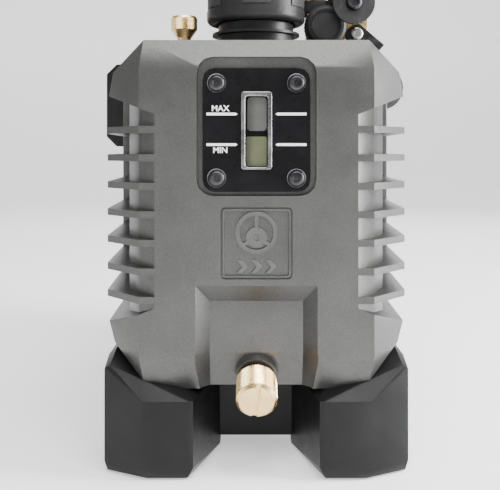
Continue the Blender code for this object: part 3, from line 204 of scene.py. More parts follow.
def finishPiece(obj, body, paint, nodes=(), degrees=32):
    pick(obj)
    obj.data.materials.clear()
    obj.data.materials.append(paint)
    bpy.ops.object.shade_smooth_by_angle(angle=math.radians(degrees))
    addModifier(obj, "WEIGHTED_NORMAL", keep_sharp=True, weight=100)
    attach(obj, body)
    if nodes:
        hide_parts(*nodes)
    return obj


def castCopy(node, name, edge, segments=2, merge=2e-5, degrees=30):
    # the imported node's shape as clean flat faces, with its edges rounded
    obj = frame["nodes"][node].copy()
    obj.data = frame["nodes"][node].data.copy()
    obj.parent = None
    obj.name = obj.data.name = name
    bpy.context.scene.collection.objects.link(obj)
    for key in list(obj.keys()):
        del obj[key]
    edit(obj, "VERT")
    bpy.ops.mesh.remove_doubles(threshold=merge)
    bpy.ops.mesh.select_mode(type="FACE")
    bpy.ops.mesh.select_all(action="SELECT")
    bpy.ops.mesh.dissolve_limited(angle_limit=math.radians(0.6))
    leave()
    if edge:
        bevel(obj, edge, segments, degrees)
    return obj


def middle(node):
    low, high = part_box(node)
    return (low + high) / 2


# shader maths
class Value:
    # a float socket that can stand in a sum
    def __init__(self, paint, socket):
        self.paint, self.socket = paint, socket

    def sum(self, operation, other):
        return self.paint.get("ShaderNodeMath", {"operation": operation}, {0: self, 1: other})

    def __add__(self, other): return self.sum("ADD", other)
    def __radd__(self, other): return self.sum("ADD", other)
    def __sub__(self, other): return self.sum("SUBTRACT", other)
    def __mul__(self, other): return self.sum("MULTIPLY", other)
    def __rmul__(self, other): return self.sum("MULTIPLY", other)

    def ramp(self, low, high, bottom=0.0, top=1.0):
        inputs = {"Value": self, "From Min": low, "From Max": high, "To Min": bottom, "To Max": top}
        return self.paint.get("ShaderNodeMapRange", {"interpolation_type": "SMOOTHSTEP"}, inputs)


class Paint:
    def __init__(self, name):
        self.material = bpy.data.materials.new(name)
        self.material.use_nodes = True
        self.tree = self.material.node_tree
        self.shader = self.tree.nodes["Principled BSDF"]
        self.place = self.make("ShaderNodeTexCoord").outputs["Object"]

    def make(self, kind, settings=None, inputs=None):
        node = self.tree.nodes.new(kind)
        for key, value in (settings or {}).items():
            setattr(node, key, value)
        for key, value in (inputs or {}).items():
            self.feed(node.inputs[key], value)
        return node

    def feed(self, socket, value):
        if isinstance(value, Value):
            value = value.socket
        if isinstance(value, bpy.types.NodeSocket):
            self.tree.links.new(value, socket)
        else:
            socket.default_value = value

    def get(self, kind, settings=None, inputs=None, out=0):
        return Value(self, self.make(kind, settings, inputs).outputs[out])

    def noise(self, scale, detail=2.0, rough=0.5, stretch=None):
        spot = self.place
        if stretch:
            spot = self.make("ShaderNodeMapping", None, {"Vector": self.place, "Scale": stretch}).outputs[0]
        inputs = {"Vector": spot, "Scale": scale, "Detail": detail, "Roughness": rough}
        return self.get("ShaderNodeTexNoise", None, inputs)

    def grains(self, scale):
        inputs = {"Vector": self.place, "Scale": scale}
        return self.get("ShaderNodeTexVoronoi", {"feature": "F1"}, inputs)

    def along(self, axis):
        return self.get("ShaderNodeSeparateXYZ", None, {"Vector": self.place}, out="XYZ".index(axis))

    def mix(self, share, first, second):
        node = self.make("ShaderNodeMix", {"data_type": "RGBA"})
        self.feed(node.inputs["Factor"], share)
        for slotNumber, colour in ((6, first), (7, second)):
            self.feed(node.inputs[slotNumber], (*colour, 1) if isinstance(colour, tuple) else colour)
        return node.outputs[2]

    def bump(self, height, deep, strength=1.0):
        inputs = {"Height": height, "Distance": deep, "Strength": strength}
        self.feed(self.shader.inputs["Normal"], self.make("ShaderNodeBump", None, inputs).outputs[0])

    def set(self, **values):
        for key, value in values.items():
            name = {"colour": "Base Color", "rough": "Roughness", "metal": "Metallic",
                    "coat": "Coat Weight", "gloss": "Specular IOR Level"}[key]
            if isinstance(value, tuple) and len(value) == 3:
                value = (*value, 1)
            self.feed(self.shader.inputs[name], value)
        return self.material


# finishes
def sandCastPaint(name, bright):
    # grey metallic sand coat over a casting
    look = {"dark": 0.058, "light": 0.138, "grain": 2500, "deep": 0.00008}
    paint = Paint(name)
    tones = [look[key] * bright for key in ("dark", "light")]
    dark, light = [(tone, tone, tone * 0.98) for tone in tones]
    grain = paint.noise(look["grain"], 3.0, 0.65)
    patches = paint.noise(38, 3.0, 0.6)
    flecks = paint.grains(look["grain"] * 0.8).ramp(0.55, 0.15)
    tone = (grain.ramp(0.30, 0.72) * 0.55 + flecks * 0.30 + patches.ramp(0.35, 0.65) * 0.15)
    paint.bump(grain * 0.7 + flecks * 0.3, look["deep"], 0.75)
    return paint.set(
        colour=paint.mix(tone, dark, light),
        rough=grain.ramp(0.3, 0.7, 0.44, 0.31) + patches.ramp(0.3, 0.7, -0.02, 0.03),
        metal=0.70,
    )


def mouldedPaint(name, colour, grain, rough):
    # black moulded plastic with a fine spark texture and faint rub marks
    paint = Paint(name)
    fine = paint.noise(grain, 2.0, 0.6)
    broad = paint.noise(45, 4.0, 0.6)
    rubbed = paint.noise(160, 3.0, 0.5, (1, 0.25, 1)).ramp(0.62, 0.80)
    lighter = tuple(c * 1.9 + 0.004 for c in colour)
    paint.bump(fine, 0.00006, 0.55)
    return paint.set(
        colour=paint.mix(broad.ramp(0.35, 0.75) * 0.5 + rubbed * 0.25, colour, lighter),
        rough=broad.ramp(0.3, 0.7, rough - 0.05, rough + 0.06) + fine.ramp(0.3, 0.7, -0.03, 0.03), gloss=0.2,
    )


def glossPaint():
    paint = Paint("glossBlack")
    haze = paint.noise(70, 4.0, 0.6)
    return paint.set(
        colour=paint.mix(haze.ramp(0.4, 0.8), (0.0065, 0.0065, 0.0070), (0.011, 0.011, 0.012)),
        rough=haze.ramp(0.3, 0.8, 0.26, 0.34), gloss=0.07,
    )


def brassPaint():
    paint = Paint("turnedBrass")
    cloud = paint.noise(90, 4.0, 0.6)
    scratch = paint.noise(1400, 2.0, 0.5, (1, 0.15, 1))
    paint.bump(scratch, 0.000015, 0.5)
    return paint.set(
        colour=paint.mix(cloud.ramp(0.35, 0.7), (0.83, 0.56, 0.24), (0.96, 0.74, 0.40)),
        rough=cloud.ramp(0.3, 0.75, 0.20, 0.34) + scratch.ramp(0.4, 0.7, 0.0, 0.06), metal=1.0,
    )


def metalPaint(name, dark, light, rough):
    paint = Paint(name)
    cloud = paint.noise(120, 4.0, 0.6)
    scratch = paint.noise(1700, 2.0, 0.5, (0.2, 1, 1))
    paint.bump(scratch, 0.00001, 0.5)
    return paint.set(
        colour=paint.mix(cloud.ramp(0.3, 0.7), dark, light),
        rough=cloud.ramp(0.3, 0.75, rough - 0.06, rough + 0.08) + scratch.ramp(0.4, 0.7, 0.0, 0.05),
        metal=1.0,
    )


def rubberPaint():
    paint = Paint("rubber")
    dust = paint.noise(150, 5.0, 0.65)
    fine = paint.noise(2200, 2.0, 0.6)
    paint.bump(fine, 0.00005, 0.6)
    return paint.set(
        colour=paint.mix(dust.ramp(0.45, 0.8), (0.016, 0.016, 0.017), (0.045, 0.045, 0.047)),
        rough=dust.ramp(0.3, 0.7, 0.62, 0.82), gloss=0.35,
    )


def markPaint():
    paint = Paint("whiteMark")
    worn = paint.noise(900, 3.0, 0.6)
    white, grey = (0.93, 0.93, 0.93), (0.80, 0.80, 0.80)
    return paint.set(colour=paint.mix(worn.ramp(0.3, 0.8), white, grey), rough=0.45)


def behindGlassPaint(name, scale, edges, dark, light):
    # what shows through the pane, darker towards its shaded side
    paint = Paint(name)
    shade = paint.along("X").ramp(*edges)
    cloud = paint.noise(scale, 2.0, 0.5)
    return paint.set(
        colour=paint.mix(shade * 0.8 + cloud.ramp(0.3, 0.7) * 0.2, dark, light),
        rough=cloud.ramp(0.3, 0.7, 0.30, 0.38), coat=0.6,
    )


paints = {
    "cast": sandCastPaint("sandCast", 1.0),
    # a brighter copy of the same sand cast: painted highlight on the raised emblem lines
    "castPaintedHighlight": sandCastPaint("sandCastPaintedHighlight", 1.25),
    "bezel": metalPaint("polishedBezel", (0.17, 0.17, 0.175), (0.31, 0.31, 0.31), 0.28),
    "castMotor": sandCastPaint("motorCast", 0.9),
    "plasticWorn": mouldedPaint("mouldedGrip", (0.021, 0.021, 0.022), 1300, 0.44),
    "rockerRed": mouldedPaint("rockerRed", (0.30, 0.010, 0.008), 900, 0.30),
    "gunmetal": metalPaint("gunmetalEdge", (0.16, 0.16, 0.165), (0.30, 0.30, 0.30), 0.28),
    "oil": behindGlassPaint("oilBehindGlass", 160, (-0.0055, -0.0005),
                            (0.034, 0.036, 0.018), (0.105, 0.118, 0.056)),
    "air": behindGlassPaint("airBehindGlass", 120, (-0.0048, 0.0005),
                            (0.034, 0.031, 0.030), (0.090, 0.092, 0.089)),
    "plastic": mouldedPaint("mouldedBlack", (0.0105, 0.0105, 0.011), 1800, 0.40),
    "plasticFeet": mouldedPaint("mouldedBase", (0.006, 0.006, 0.0065), 1500, 0.40),
    "gloss": glossPaint(),
    "brass": brassPaint(),
    "oxide": metalPaint("blackOxide", (0.035, 0.035, 0.037), (0.075, 0.075, 0.078), 0.38),
    "steel": metalPaint("machinedSteel", (0.42, 0.42, 0.42), (0.62, 0.62, 0.61), 0.30),
    "iron": metalPaint("machinedIron", (0.14, 0.14, 0.145), (0.24, 0.24, 0.24), 0.50),
    "copper": metalPaint("copper", (0.45, 0.17, 0.08), (0.66, 0.29, 0.15), 0.35),
    "rubber": rubberPaint(),
    "composite": mouldedPaint("vaneComposite", (0.055, 0.040, 0.026), 700, 0.55),
    "mark": markPaint(),
}
print("finishes ready")


# oil reservoir
def makeReservoir():
    look = {"edge": 0.0011, "segments": 3}
    casting = castCopy("oil_reservoir", "reservoirCasting", look["edge"], look["segments"])
    return finishPiece(casting, "housing", paints["cast"], ["oil_reservoir"], 40)


makeReservoir()
print("reservoir ready")


# shared shapes
def arcPoints(centre, radius, start, end, steps):
    angles = [math.radians(start + (end - start) * i / steps) for i in range(steps + 1)]
    return [(centre[0] + radius * math.cos(a), centre[1] + radius * math.sin(a)) for a in angles]


def frameOf(name, outer, inner, low, high, place):
    ring = plate(name, outer, low, high, place)
    reach = 0.002 if high > low else -0.002
    return carve(ring, plate(name + "Inner", inner, low - reach, high + reach, place))


def hoop(inner, outer, low, high):
    return [(inner, low), (inner, high), (outer, high), (outer, low)]


def joinAs(parts, name):
    whole = weld(*parts)
    whole.name = name
    return whole


def shrinkVerts(obj, test, ratio):
    # draws some vertices of a turned shape in towards the Z axis
    edit(obj, "VERT", "DESELECT")
    leave()
    for vert in obj.data.vertices:
        vert.select = test(vert.co)
    bpy.ops.object.mode_set(mode="EDIT")
    bpy.ops.transform.resize(value=(ratio, ratio, 1), center_override=(0, 0, 0))
    leave()
    return obj


def knurl(obj, sides, low, high, pitch, radius, deep):
    # every second vertex of the barrel goes in, which leaves a mesh of diamonds
    def sunk(co):
        if math.hypot(co.x, co.y) < radius * 0.97 or not low - 1e-5 < co.z < high + 1e-5:
            return False
        return (round(math.atan2(co.y, co.x) / math.tau * sides) + round((co.z - low) / pitch)) % 2 == 0
    shrinkVerts(obj, sunk, 1 - deep / radius)
    valley = radius - deep - 0.0003
    selectFaces(obj, lambda spot, normal: low < spot.z < high and math.hypot(spot.x, spot.y) > valley)
    bpy.ops.object.mode_set(mode="EDIT")
    bpy.ops.mesh.quads_convert_to_tris(quad_method="SHORTEST_DIAGONAL")
    leave()
    return obj


def socketScrew(name, look, centre, axis):
    # a button head with a six-sided socket
    head, tall = look["head"], look["tall"]
    shoulder = arcPoints((head - tall * 0.8, tall * 0.2), tall * 0.8, 90, 0, 5)
    profile = [(0, tall)] + shoulder + [(head, 0), (0, 0)]
    screw = lathe(name, profile, (0, 0, 0), sides=36)
    carve(screw, drum(name + "Socket", look["socket"], tall - look["deep"], tall + 0.001, (0, 0, 0), sides=6))
    bevel(screw, 0.00012, 1, 40)
    return aim(screw, centre, axis)


frontward, rearward, upward = (0, -1, 0), (0, 1, 0), (0, 0, 1)
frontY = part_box("oil_reservoir")[0].y


# emblem
def makeEmblem():
    # a rotor with its vanes in an eccentric bore, and three flow arrows, in a raised bead
    look = {"half": 0.0172, "low": 0.1026, "top": 0.1372, "bead": 0.0011, "sunk": 0.0012, "rise": 0.0011,
            "centre": 0.1252, "bore": 0.0086, "ring": 0.0020, "rotor": 0.0052, "shift": 0.0024, "vane": 0.0018,
            "root": 0.0003, "vaneStart": 0.003, "longVane": 0.0038, "shaft": 0.0018, "shaftDeep": 0.0005,
            "arrowRise": 0.0008, "arrowZ": 0.1080, "arrowX": (-0.0072, 0.0, 0.0072), "arrow": (0.0030, 0.0033)}
    floor = frontY + look["sunk"]
    half, low, top, bead = look["half"], look["low"], look["top"], look["bead"]
    outer = roundRect(-half, half, low, top, 0.0018)
    inner = roundRect(-half + bead, half - bead, low + bead, top - bead, 0.0012)
    root = floor + look["root"]
    border = frameOf("emblemBead", outer, inner, root, floor - look["rise"], facing)
    bevel(border, 0.0004, 2, 40)
    finishPiece(border, "housing", paints["cast"])
    profile = hoop(look["bore"], look["bore"] + look["ring"], -look["root"], look["rise"])
    sign = lathe("emblemSign", profile, (0, floor, look["centre"]), frontward, 72, closed=True)
    rotorZ = look["centre"] - look["shift"]
    rotor = drum("emblemRotor", look["rotor"], -look["root"], look["rise"], (0, floor, rotorZ), frontward)
    carve(sign, rotor, "UNION")
    wide = look["vane"] / 2
    for degrees in (90, 210, 330):
        way = Vector((math.cos(math.radians(degrees)), math.sin(math.radians(degrees))))
        across = Vector((-way.y, way.x)) * wide
        start = Vector((0, rotorZ)) + way * look["vaneStart"]
        past = look["longVane"] if degrees == 90 else look["root"]
        end = Vector((0, rotorZ)) + way * (look["bore"] + past)
        outline = [start + across, start - across, end - across, end + across]
        carve(sign, plate("emblemVane", outline, root, floor - look["rise"], facing), "UNION")
    seat = look["rise"] - look["shaftDeep"]
    carve(sign, drum("emblemShaft", look["shaft"], seat, 0.01, (0, floor, rotorZ), frontward, 24))
    bevel(sign, 0.00022, 2, 40)
    # the raised sign, and the arrows below, take the brighter sand cast as painted highlight
    finishPiece(sign, "housing", paints["castPaintedHighlight"])
    arrows, z = [], look["arrowZ"]
    reach, half = look["arrow"]
    for x in look["arrowX"]:
        outline = [(x - reach, z + half), (x, z + half), (x + reach, z),
                   (x, z - half), (x - reach, z - half), (x, z)]
        arrows.append(plate("flowArrow", outline, root, floor - look["arrowRise"], facing))
    arrows = bevel(weld(*arrows), 0.00018, 1, 40)
    arrows.name = "emblemArrows"
    finishPiece(arrows, "housing", paints["castPaintedHighlight"])


makeEmblem()
print("emblem ready")


# sight glass
def makeSightPlate():
    look = {"edge": 0.0005, "bezel": (0.0078, 0.0056), "bezelLow": (0.1566, 0.1580),
            "bezelTop": (0.1959, 0.1934), "proud": 0.0007}
    panel = castCopy("sight_plate", "sightPlate", look["edge"], 2)
    finishPiece(panel, "housing", paints["gloss"], ["sight_plate"])
    low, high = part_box("sight_plate")
    (out, inside), (lowOut, lowIn), (topOut, topIn) = look["bezel"], look["bezelLow"], look["bezelTop"]
    outer = roundRect(-out, out, lowOut, topOut, 0.0016)
    inner = roundRect(-inside, inside, lowIn, topIn, 0.0015)
    bezel = frameOf("windowBezel", outer, inner, high.y - 0.0002, low.y - look["proud"], facing)
    bevel(bezel, 0.0006, 3, 40)
    finishPiece(bezel, "housing", paints["bezel"])


def makeSightWindow():
    # a black chamber with the oil and the air above it as two fills
    look = {"oilLow": 0.1581, "oilTop": 0.1733, "airLow": 0.1760, "airTop": 0.1933, "half": 0.0054,
            "gap": 0.0002, "oilRound": 0.0009, "airRound": 0.0021, "airInset": 0.0006, "proud": 0.0005}
    low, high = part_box("sight_window")
    shrink = look["gap"]
    outline = roundRect(low.x + shrink, high.x - shrink, low.z + shrink, high.z - shrink, 0.003)
    backing = bevel(plate("windowChamber", outline, low.y + shrink, high.y, facing), 0.0003, 1)
    finishPiece(backing, "housing", paints["gloss"], ["sight_window"])
    half = look["half"]
    front = low.y - look["proud"]
    outline = roundRect(-half, half, look["oilLow"], look["oilTop"], look["oilRound"])
    oil = plate("oilFill", outline, high.y, front, facing)
    finishPiece(bevel(oil, 0.0002, 1), "housing", paints["oil"])
    outline = roundRect(-half + look["airInset"], half, look["airLow"], look["airTop"], look["airRound"])
    air = plate("airSpace", outline, high.y, front, facing)
    finishPiece(bevel(air, 0.0002, 1), "housing", paints["air"])


def levelWord(word, centre, tall, face):
    # an upright word in the plain built-in font, standing just off the panel
    capShare = 0.70
    deselect()
    bpy.ops.object.text_add(location=(0, 0, 0))
    text = bpy.context.active_object
    text.name = "levelWord" + word.title()
    text.data.body = word
    text.data.align_x, text.data.align_y = "CENTER", "CENTER"
    text.data.size = tall / capShare
    text.data.offset = tall * 0.022
    text.data.extrude = 0.0001
    bpy.ops.object.convert(target="MESH")
    text = bpy.context.active_object
    text.rotation_euler = (math.pi / 2, 0, 0)
    text.location = (centre[0], face - 0.00002, centre[1])
    return settle(text, "levelWord" + word.title())


def makeLevelMarks():
    # white lines at the two levels with a word over one and under the other
    look = {"maxZ": 0.1845, "minZ": 0.1692, "thick": 0.0013, "out": 0.0250, "tip": 0.0095, "point": 0.0009,
            "word": 0.0029, "wordX": -0.0181, "maxWord": 0.1872, "minWord": 0.1663}
    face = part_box("sight_plate")[0].y
    pieces, half = [], look["thick"] / 2
    for z in (look["maxZ"], look["minZ"]):
        for side in (-1, 1):
            out, tip, neck = side * look["out"], side * look["tip"], side * (look["tip"] + look["point"])
            outline = [(out, z + half), (neck, z + half), (tip, z), (neck, z - half), (out, z - half)]
            pieces.append(plate("levelLine", outline, face + 0.0001, face - 0.00012, facing))
    pieces.append(levelWord("MAX", (look["wordX"], look["maxWord"]), look["word"], face))
    pieces.append(levelWord("MIN", (look["wordX"], look["minWord"]), look["word"], face))
    finishPiece(joinAs(pieces, "levelMarks"), "housing", paints["mark"])


def makeSightScrews():
    look = {"head": 0.0041, "tall": 0.0021, "socket": 0.0019, "deep": 0.0013, "collar": (0.00435, 0.0049)}
    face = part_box("sight_plate")[0].y
    for i in range(4):
        node = f"sight_screw_{i + 1}"
        spot = middle(node)
        spot.y = face
        screw = socketScrew(f"sightScrew{i + 1}", look, spot, frontward)
        finishPiece(screw, "housing", paints["oxide"], [node])
        inner, outer = look["collar"]
        profile = [(inner, -0.0002), (inner, 0.0003), (outer - 0.0002, 0.0004), (outer, -0.0002)]
        collar = lathe(f"sightScrewRing{i + 1}", profile, spot, frontward, 48, closed=True)
        finishPiece(collar, "housing", paints["gunmetal"])


makeSightPlate()
makeSightWindow()
makeLevelMarks()
makeSightScrews()
print("sight glass ready")


# drain plug
def jointOf(name):
    return next(joint for joint in frame["joints"] if joint["name"] == name)


def makeDrainPlug():
    look = {"radius": 0.01035, "start": 0.0061, "tall": 0.0168, "sides": 96, "pitch": 0.00066,
            "deep": 0.00052, "chamfer": 0.0016, "slot": 0.0025, "slotDeep": 0.0022, "slotTurn": 83,
            "plain": 0.0012, "shank": 0.0059, "tipRadius": 0.0052, "shankLong": 0.0150, "tip": 0.0008}
    joint = jointOf("drain_plug_turn")
    centre, axis = Vector(joint["pos_m"]), Vector(joint["axis"])
    low, high, radius = look["start"], look["start"] + look["tall"], look["radius"]
    rows = int((look["tall"] - look["chamfer"] - look["plain"]) / look["pitch"])
    first = low + look["plain"]
    last = first + rows * look["pitch"]
    barrel = [(radius, last - i * look["pitch"]) for i in range(rows + 1)]
    face = radius - look["chamfer"]
    shank, shankEnd = look["shank"], low - look["shankLong"]
    tip = shankEnd - look["tip"]
    profile = [(0, high), (face - 0.0003, high), (face, high - 0.0001), (radius - 0.0002, last + 0.0003)]
    profile += barrel + [(radius - 0.0009, low), (shank, low), (shank, shankEnd)]
    profile += [(look["tipRadius"], tip), (0, tip)]
    plug = lathe("drainPlug", profile, (0, 0, 0), sides=look["sides"])
    knurl(plug, look["sides"], first, last, look["pitch"], radius, look["deep"])
    half = look["slot"] / 2
    slot = block("plugSlot", (-0.02, -half, high - look["slotDeep"]), (0.02, half, high + 0.01))
    slot.rotation_euler = (0, 0, math.radians(look["slotTurn"]))
    carve(plug, settle(slot, "plugSlot"))
    aim(plug, centre, axis)
    finishPiece(plug, "drain_knob", paints["brass"], ["drain_plug"], 24)


makeDrainPlug()
print("drain plug ready")


# filler cap
def makeExhaustCap():
    look = {"grip": 31, "pitch": 60, "proud": 0.0009, "gripLow": 0.2436, "soft": 0.0012,
            "gripDeep": 0.0022, "gripTop": 0.0012, "ring": (0.0165, 0.0185), "ringRise": 0.0006,
            "ringRoot": 0.0004}
    cap = castCopy("exhaust_cap", "exhaustCap", look["soft"], 3)
    centre = middle("exhaust_cap")
    low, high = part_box("exhaust_cap")
    radius = (high.x - low.x) / 2
    panels = []
    for i in range(6):
        start = -90 - look["grip"] / 2 + i * look["pitch"]
        outer = arcPoints((centre.x, centre.y), radius + look["proud"] * 0.2, start, start + look["grip"], 8)
        inner = arcPoints((centre.x, centre.y), radius - look["gripDeep"], start + look["grip"], start, 8)
        panels.append(plate("capPanel", outer + inner, look["gripLow"], high.z - look["gripTop"], lying))
    panels = bevel(weld(*panels), 0.0004, 2, 40)
    panels.name = "capPanels"
    groove = [(radius - 0.0004, look["gripLow"] - 0.0010), (radius + 0.004, look["gripLow"] - 0.0006),
              (radius + 0.004, high.z - 0.0016), (radius - 0.0009, high.z - 0.0016)]
    carve(cap, lathe("capWaist", groove, (centre.x, centre.y, 0), sides=128, closed=True))
    finishPiece(cap, "exhaust_lid", paints["plastic"], ["exhaust_cap"])
    finishPiece(panels, "exhaust_lid", paints["plasticWorn"])
    # a moulded ring on the flat top
    profile = hoop(*look["ring"], high.z - look["ringRoot"], high.z + look["ringRise"])
    ring = lathe("capTopRing", profile, (centre.x, centre.y, 0), closed=True)
    finishPiece(bevel(ring, 0.0003, 2, 40), "exhaust_lid", paints["plastic"])
    neck = castCopy("exhaust_neck", "exhaustNeck", 0.0005, 2)
    finishPiece(neck, "housing", paints["plastic"], ["exhaust_neck"])


makeExhaustCap()
print("filler cap ready")


# gas ballast
def makeBallast():
    look = {"sides": 84, "pitch": 0.00056, "deep": 0.00026, "chamfer": 0.0007, "stem": 0.00375,
            "cone": 0.0036, "headLow": 0.2325, "tip": 0.0021, "stemLow": 0.0066, "tipTop": 0.005,
            "slot": 0.0007, "slotDeep": 0.0009}
    low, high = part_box("ballast_valve")
    node = middle("ballast_valve")
    radius = (high.x - low.x) / 2
    headLow, headTop, stem, tip = look["headLow"], high.z, look["stem"], look["tip"]
    coneLow = headLow - look["cone"]
    rows = int((headTop - headLow - 2 * look["chamfer"]) / look["pitch"])
    first = headLow + look["chamfer"]
    last = first + rows * look["pitch"]
    profile = [(0, headTop + 0.0004), (radius * 0.5, headTop + 0.0002), (radius - look["chamfer"], headTop)]
    profile += [(radius, last - i * look["pitch"]) for i in range(rows + 1)]
    profile += [(radius - look["chamfer"], headLow), (stem + 0.0002, coneLow), (stem, coneLow - 0.0006)]
    profile += [(stem, low.z + look["stemLow"]), (tip, low.z + look["tipTop"]), (tip, low.z), (0, low.z)]
    knob = lathe("ballastKnob", profile, (0, 0, 0), sides=look["sides"])
    knurl(knob, look["sides"], first, last, look["pitch"], radius, look["deep"])
    slot, slotLow = look["slot"], headTop - look["slotDeep"]
    carve(knob, block("ballastSlot", (-0.02, -slot, slotLow), (0.02, slot, headTop + 0.01)))
    aim(knob, (node.x, node.y, 0), upward)
    finishPiece(knob, "ballast_knob", paints["brass"], ["ballast_valve"], 24)
    seat = castCopy("ballast_seat", "ballastSeat", 0.0004, 2)
    finishPiece(seat, "housing", paints["brass"], ["ballast_seat"])


makeBallast()
print("gas ballast ready")


# intake
def ribbed(name, node, axis, ribs, proud, length, paint, body):
    # a cap with straight grip ribs round its barrel
    cap = castCopy(node, name, 0.0007, 2)
    low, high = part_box(node)
    centre = (low + high) / 2
    radius = (high.x - low.x) / 2
    bars = []
    for i in range(ribs):
        turn = math.tau * i / ribs
        bar = drum(name + "Rib", proud, -length / 2, length / 2, (0, 0, 0), (0, 0, 1), 8)
        bar.location = (math.cos(turn) * (radius - proud * 0.55), math.sin(turn) * (radius - proud * 0.55), 0)
        bars.append(settle(bar, name + "Rib"))
    bars = aim(joinAs(bars, name + "Ribs"), centre, axis)
    finishPiece(cap, body, paint, [node])
    finishPiece(bars, body, paint)


def makeIntake():
    look = {"frontRibs": 36, "topRibs": 42, "rib": 0.00055, "frontLong": 0.0085, "topLong": 0.0150,
            "ring": (0.0074, 0.0090), "ringRise": 0.0003, "screwSpot": (0.05425, 0.248),
            "screw": {"head": 0.0046, "tall": 0.0030, "socket": 0.0023, "deep": 0.0018}}
    ribbed("frontPortCap", "front_port_cap", frontward, look["frontRibs"], look["rib"], look["frontLong"],
           paints["plasticWorn"], "front_port_lid")
    ribbed("topPortCap", "top_port_cap", upward, look["topRibs"], look["rib"], look["topLong"],
           paints["plasticWorn"], "top_port_lid")
    for node, name, edge, paint, slotName in (
        ("intake_manifold", "intakeManifold", 0.0006, "brass", "brass"),
        ("cap_tether", "capTether", 0.0004, "rubber", "rubber"),
        ("intake_tube", "intakeTube", 0.0003, "brass", "brass"),
    ):
        finishPiece(castCopy(node, name, edge, 2), "housing", paints[paint], [node])
    # a low moulded ring on the front cap's face
    low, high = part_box("front_port_cap")
    centre = (low + high) / 2
    centre.y = low.y
    profile = hoop(*look["ring"], -look["ringRise"], look["ringRise"])
    disc = bevel(lathe("frontCapRing", profile, centre, frontward, closed=True), 0.00012, 1, 40)
    finishPiece(disc, "front_port_lid", paints["plastic"])
    spotX, spotZ = look["screwSpot"]
    spot = Vector((spotX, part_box("cap_tether")[0].y, spotZ))
    screw = socketScrew("tetherScrew", look["screw"], spot, frontward)
    finishPiece(screw, "housing", paints["oxide"], ["tether_screw"])


def makeLever():
    look = {"edge": 0.0004, "screw": {"head": 0.0036, "tall": 0.0016, "socket": 0.0015, "deep": 0.0010}}
    lever = castCopy("valve_lever", "valveLever", look["edge"], 2)
    finishPiece(lever, "lever", paints["oxide"], ["valve_lever"])
    low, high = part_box("lever_screw")
    spot = (low + high) / 2
    spot.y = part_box("valve_lever")[0].y
    screw = socketScrew("leverScrew", look["screw"], spot, frontward)
    finishPiece(screw, "lever", paints["steel"], ["lever_screw"])


makeIntake()
makeLever()
print("intake ready")


# base
def makeBase():
    look = {"edge": 0.0013, "padEdge": 0.0006, "groove": (0.0058, 0.0070), "deep": 0.0006}
    base = castCopy("base", "baseMoulding", look["edge"], 3)
    finishPiece(base, "housing", paints["plasticFeet"], ["base"])
    for i in range(4):
        node = f"foot_pad_{i + 1}"
        pad = castCopy(node, f"footPad{i + 1}", look["padEdge"], 2)
        spot = middle(node)
        spot.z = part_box(node)[0].z
        carve(pad, lathe("padGroove", hoop(*look["groove"], -0.001, look["deep"]), spot, closed=True))
        finishPiece(pad, "housing", paints["rubber"], [node])


makeBase()
print("base ready")


# pump frame and motor
def boltHead(name, spot, axis, look):
    # a six-sided head with a chamfered top on a washer
    head = drum(name, look["head"], look["washer"], look["washer"] + look["tall"], (0, 0, 0), sides=6)
    bevel(head, 0.0004, 2, 40)
    wide, thick = look["head"] * 1.12, look["washer"] + 0.0001
    profile = [(0, thick), (wide, thick), (wide, -0.0003), (0, -0.0003)]
    return aim(weld(head, lathe(name + "Washer", profile, (0, 0, 0), sides=40)), spot, axis)


def makePumpFrame():
    look = {"bolt": {"head": 0.0046, "tall": 0.0030, "washer": 0.0008}, "inset": 0.0075,
            "flange": 0.0140, "boltZ": (0.080, 0.118, 0.156)}
    flange = castCopy("pump_frame", "pumpFrame", 0.0009, 2)
    finishPiece(flange, "housing", paints["cast"], ["pump_frame"])
    low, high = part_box("pump_frame")
    rear = low.y + look["flange"]
    bolts = []
    for x in (low.x + look["inset"], high.x - look["inset"]):
        for z in look["boltZ"]:
            bolts.append(boltHead("frameBolt", (x, rear, z), rearward, look["bolt"]))
    finishPiece(joinAs(bolts, "frameBolts"), "housing", paints["steel"])
    gasket = castCopy("reservoir_gasket", "reservoirGasket", 0.0002, 1)
    finishPiece(gasket, "housing", paints["rubber"], ["reservoir_gasket"])


def makeMotor():
    look = {"rim": 0.00084, "rimRoot": 0.0010, "rimWide": 0.0040, "rimGap": 0.0002,
            "boss": (0.0150, 0.0185), "bossRise": 0.0010, "bossRoot": 0.0006,
            "screwIn": 0.0075, "screwSunk": 0.0002,
            "screw": {"head": 0.0038, "tall": 0.0018, "socket": 0.0017, "deep": 0.0012}}
    shell = castCopy("motor_housing", "motorShell", 0.0007, 2)
    finishPiece(shell, "housing", paints["castMotor"], ["motor_housing"])
    low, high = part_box("fan_cowl")
    axis = Vector((0, 0, (low.z + high.z) / 2))
    radius = (high.x - low.x) / 2
    # a rolled rim at the cowl's mouth and a raised ring in front of its vents
    mouth, end = low.y, high.y
    inner, outer = radius - look["rimRoot"], radius + look["rim"]
    profile = hoop(inner, outer, mouth + look["rimGap"], mouth + look["rimWide"])
    rim = lathe("cowlRim", profile[::-1], axis, rearward, 128, closed=True)
    finishPiece(bevel(rim, 0.0005, 2, 40), "housing", paints["plastic"])
    profile = hoop(*look["boss"], end - look["bossRoot"], end + look["bossRise"])
    boss = lathe("cowlBoss", profile, axis, rearward, 64, closed=True)
    finishPiece(bevel(boss, 0.0004, 2, 40), "housing", paints["plasticWorn"])
    screws = []
    for degrees in (45, 135, 225, 315):
        turn = math.radians(degrees)
        out = Vector((math.cos(turn), 0, math.sin(turn)))
        spot = axis + out * (radius - look["screwSunk"]) + Vector((0, low.y + look["screwIn"], 0))
        screws.append(socketScrew("cowlScrew", look["screw"], spot, out))
    finishPiece(joinAs(screws, "cowlScrews"), "housing", paints["oxide"])
    fan = castCopy("cooling_fan", "coolingFan", 0.0004, 1)
    finishPiece(fan, "rotor", paints["plasticWorn"], ["cooling_fan"])


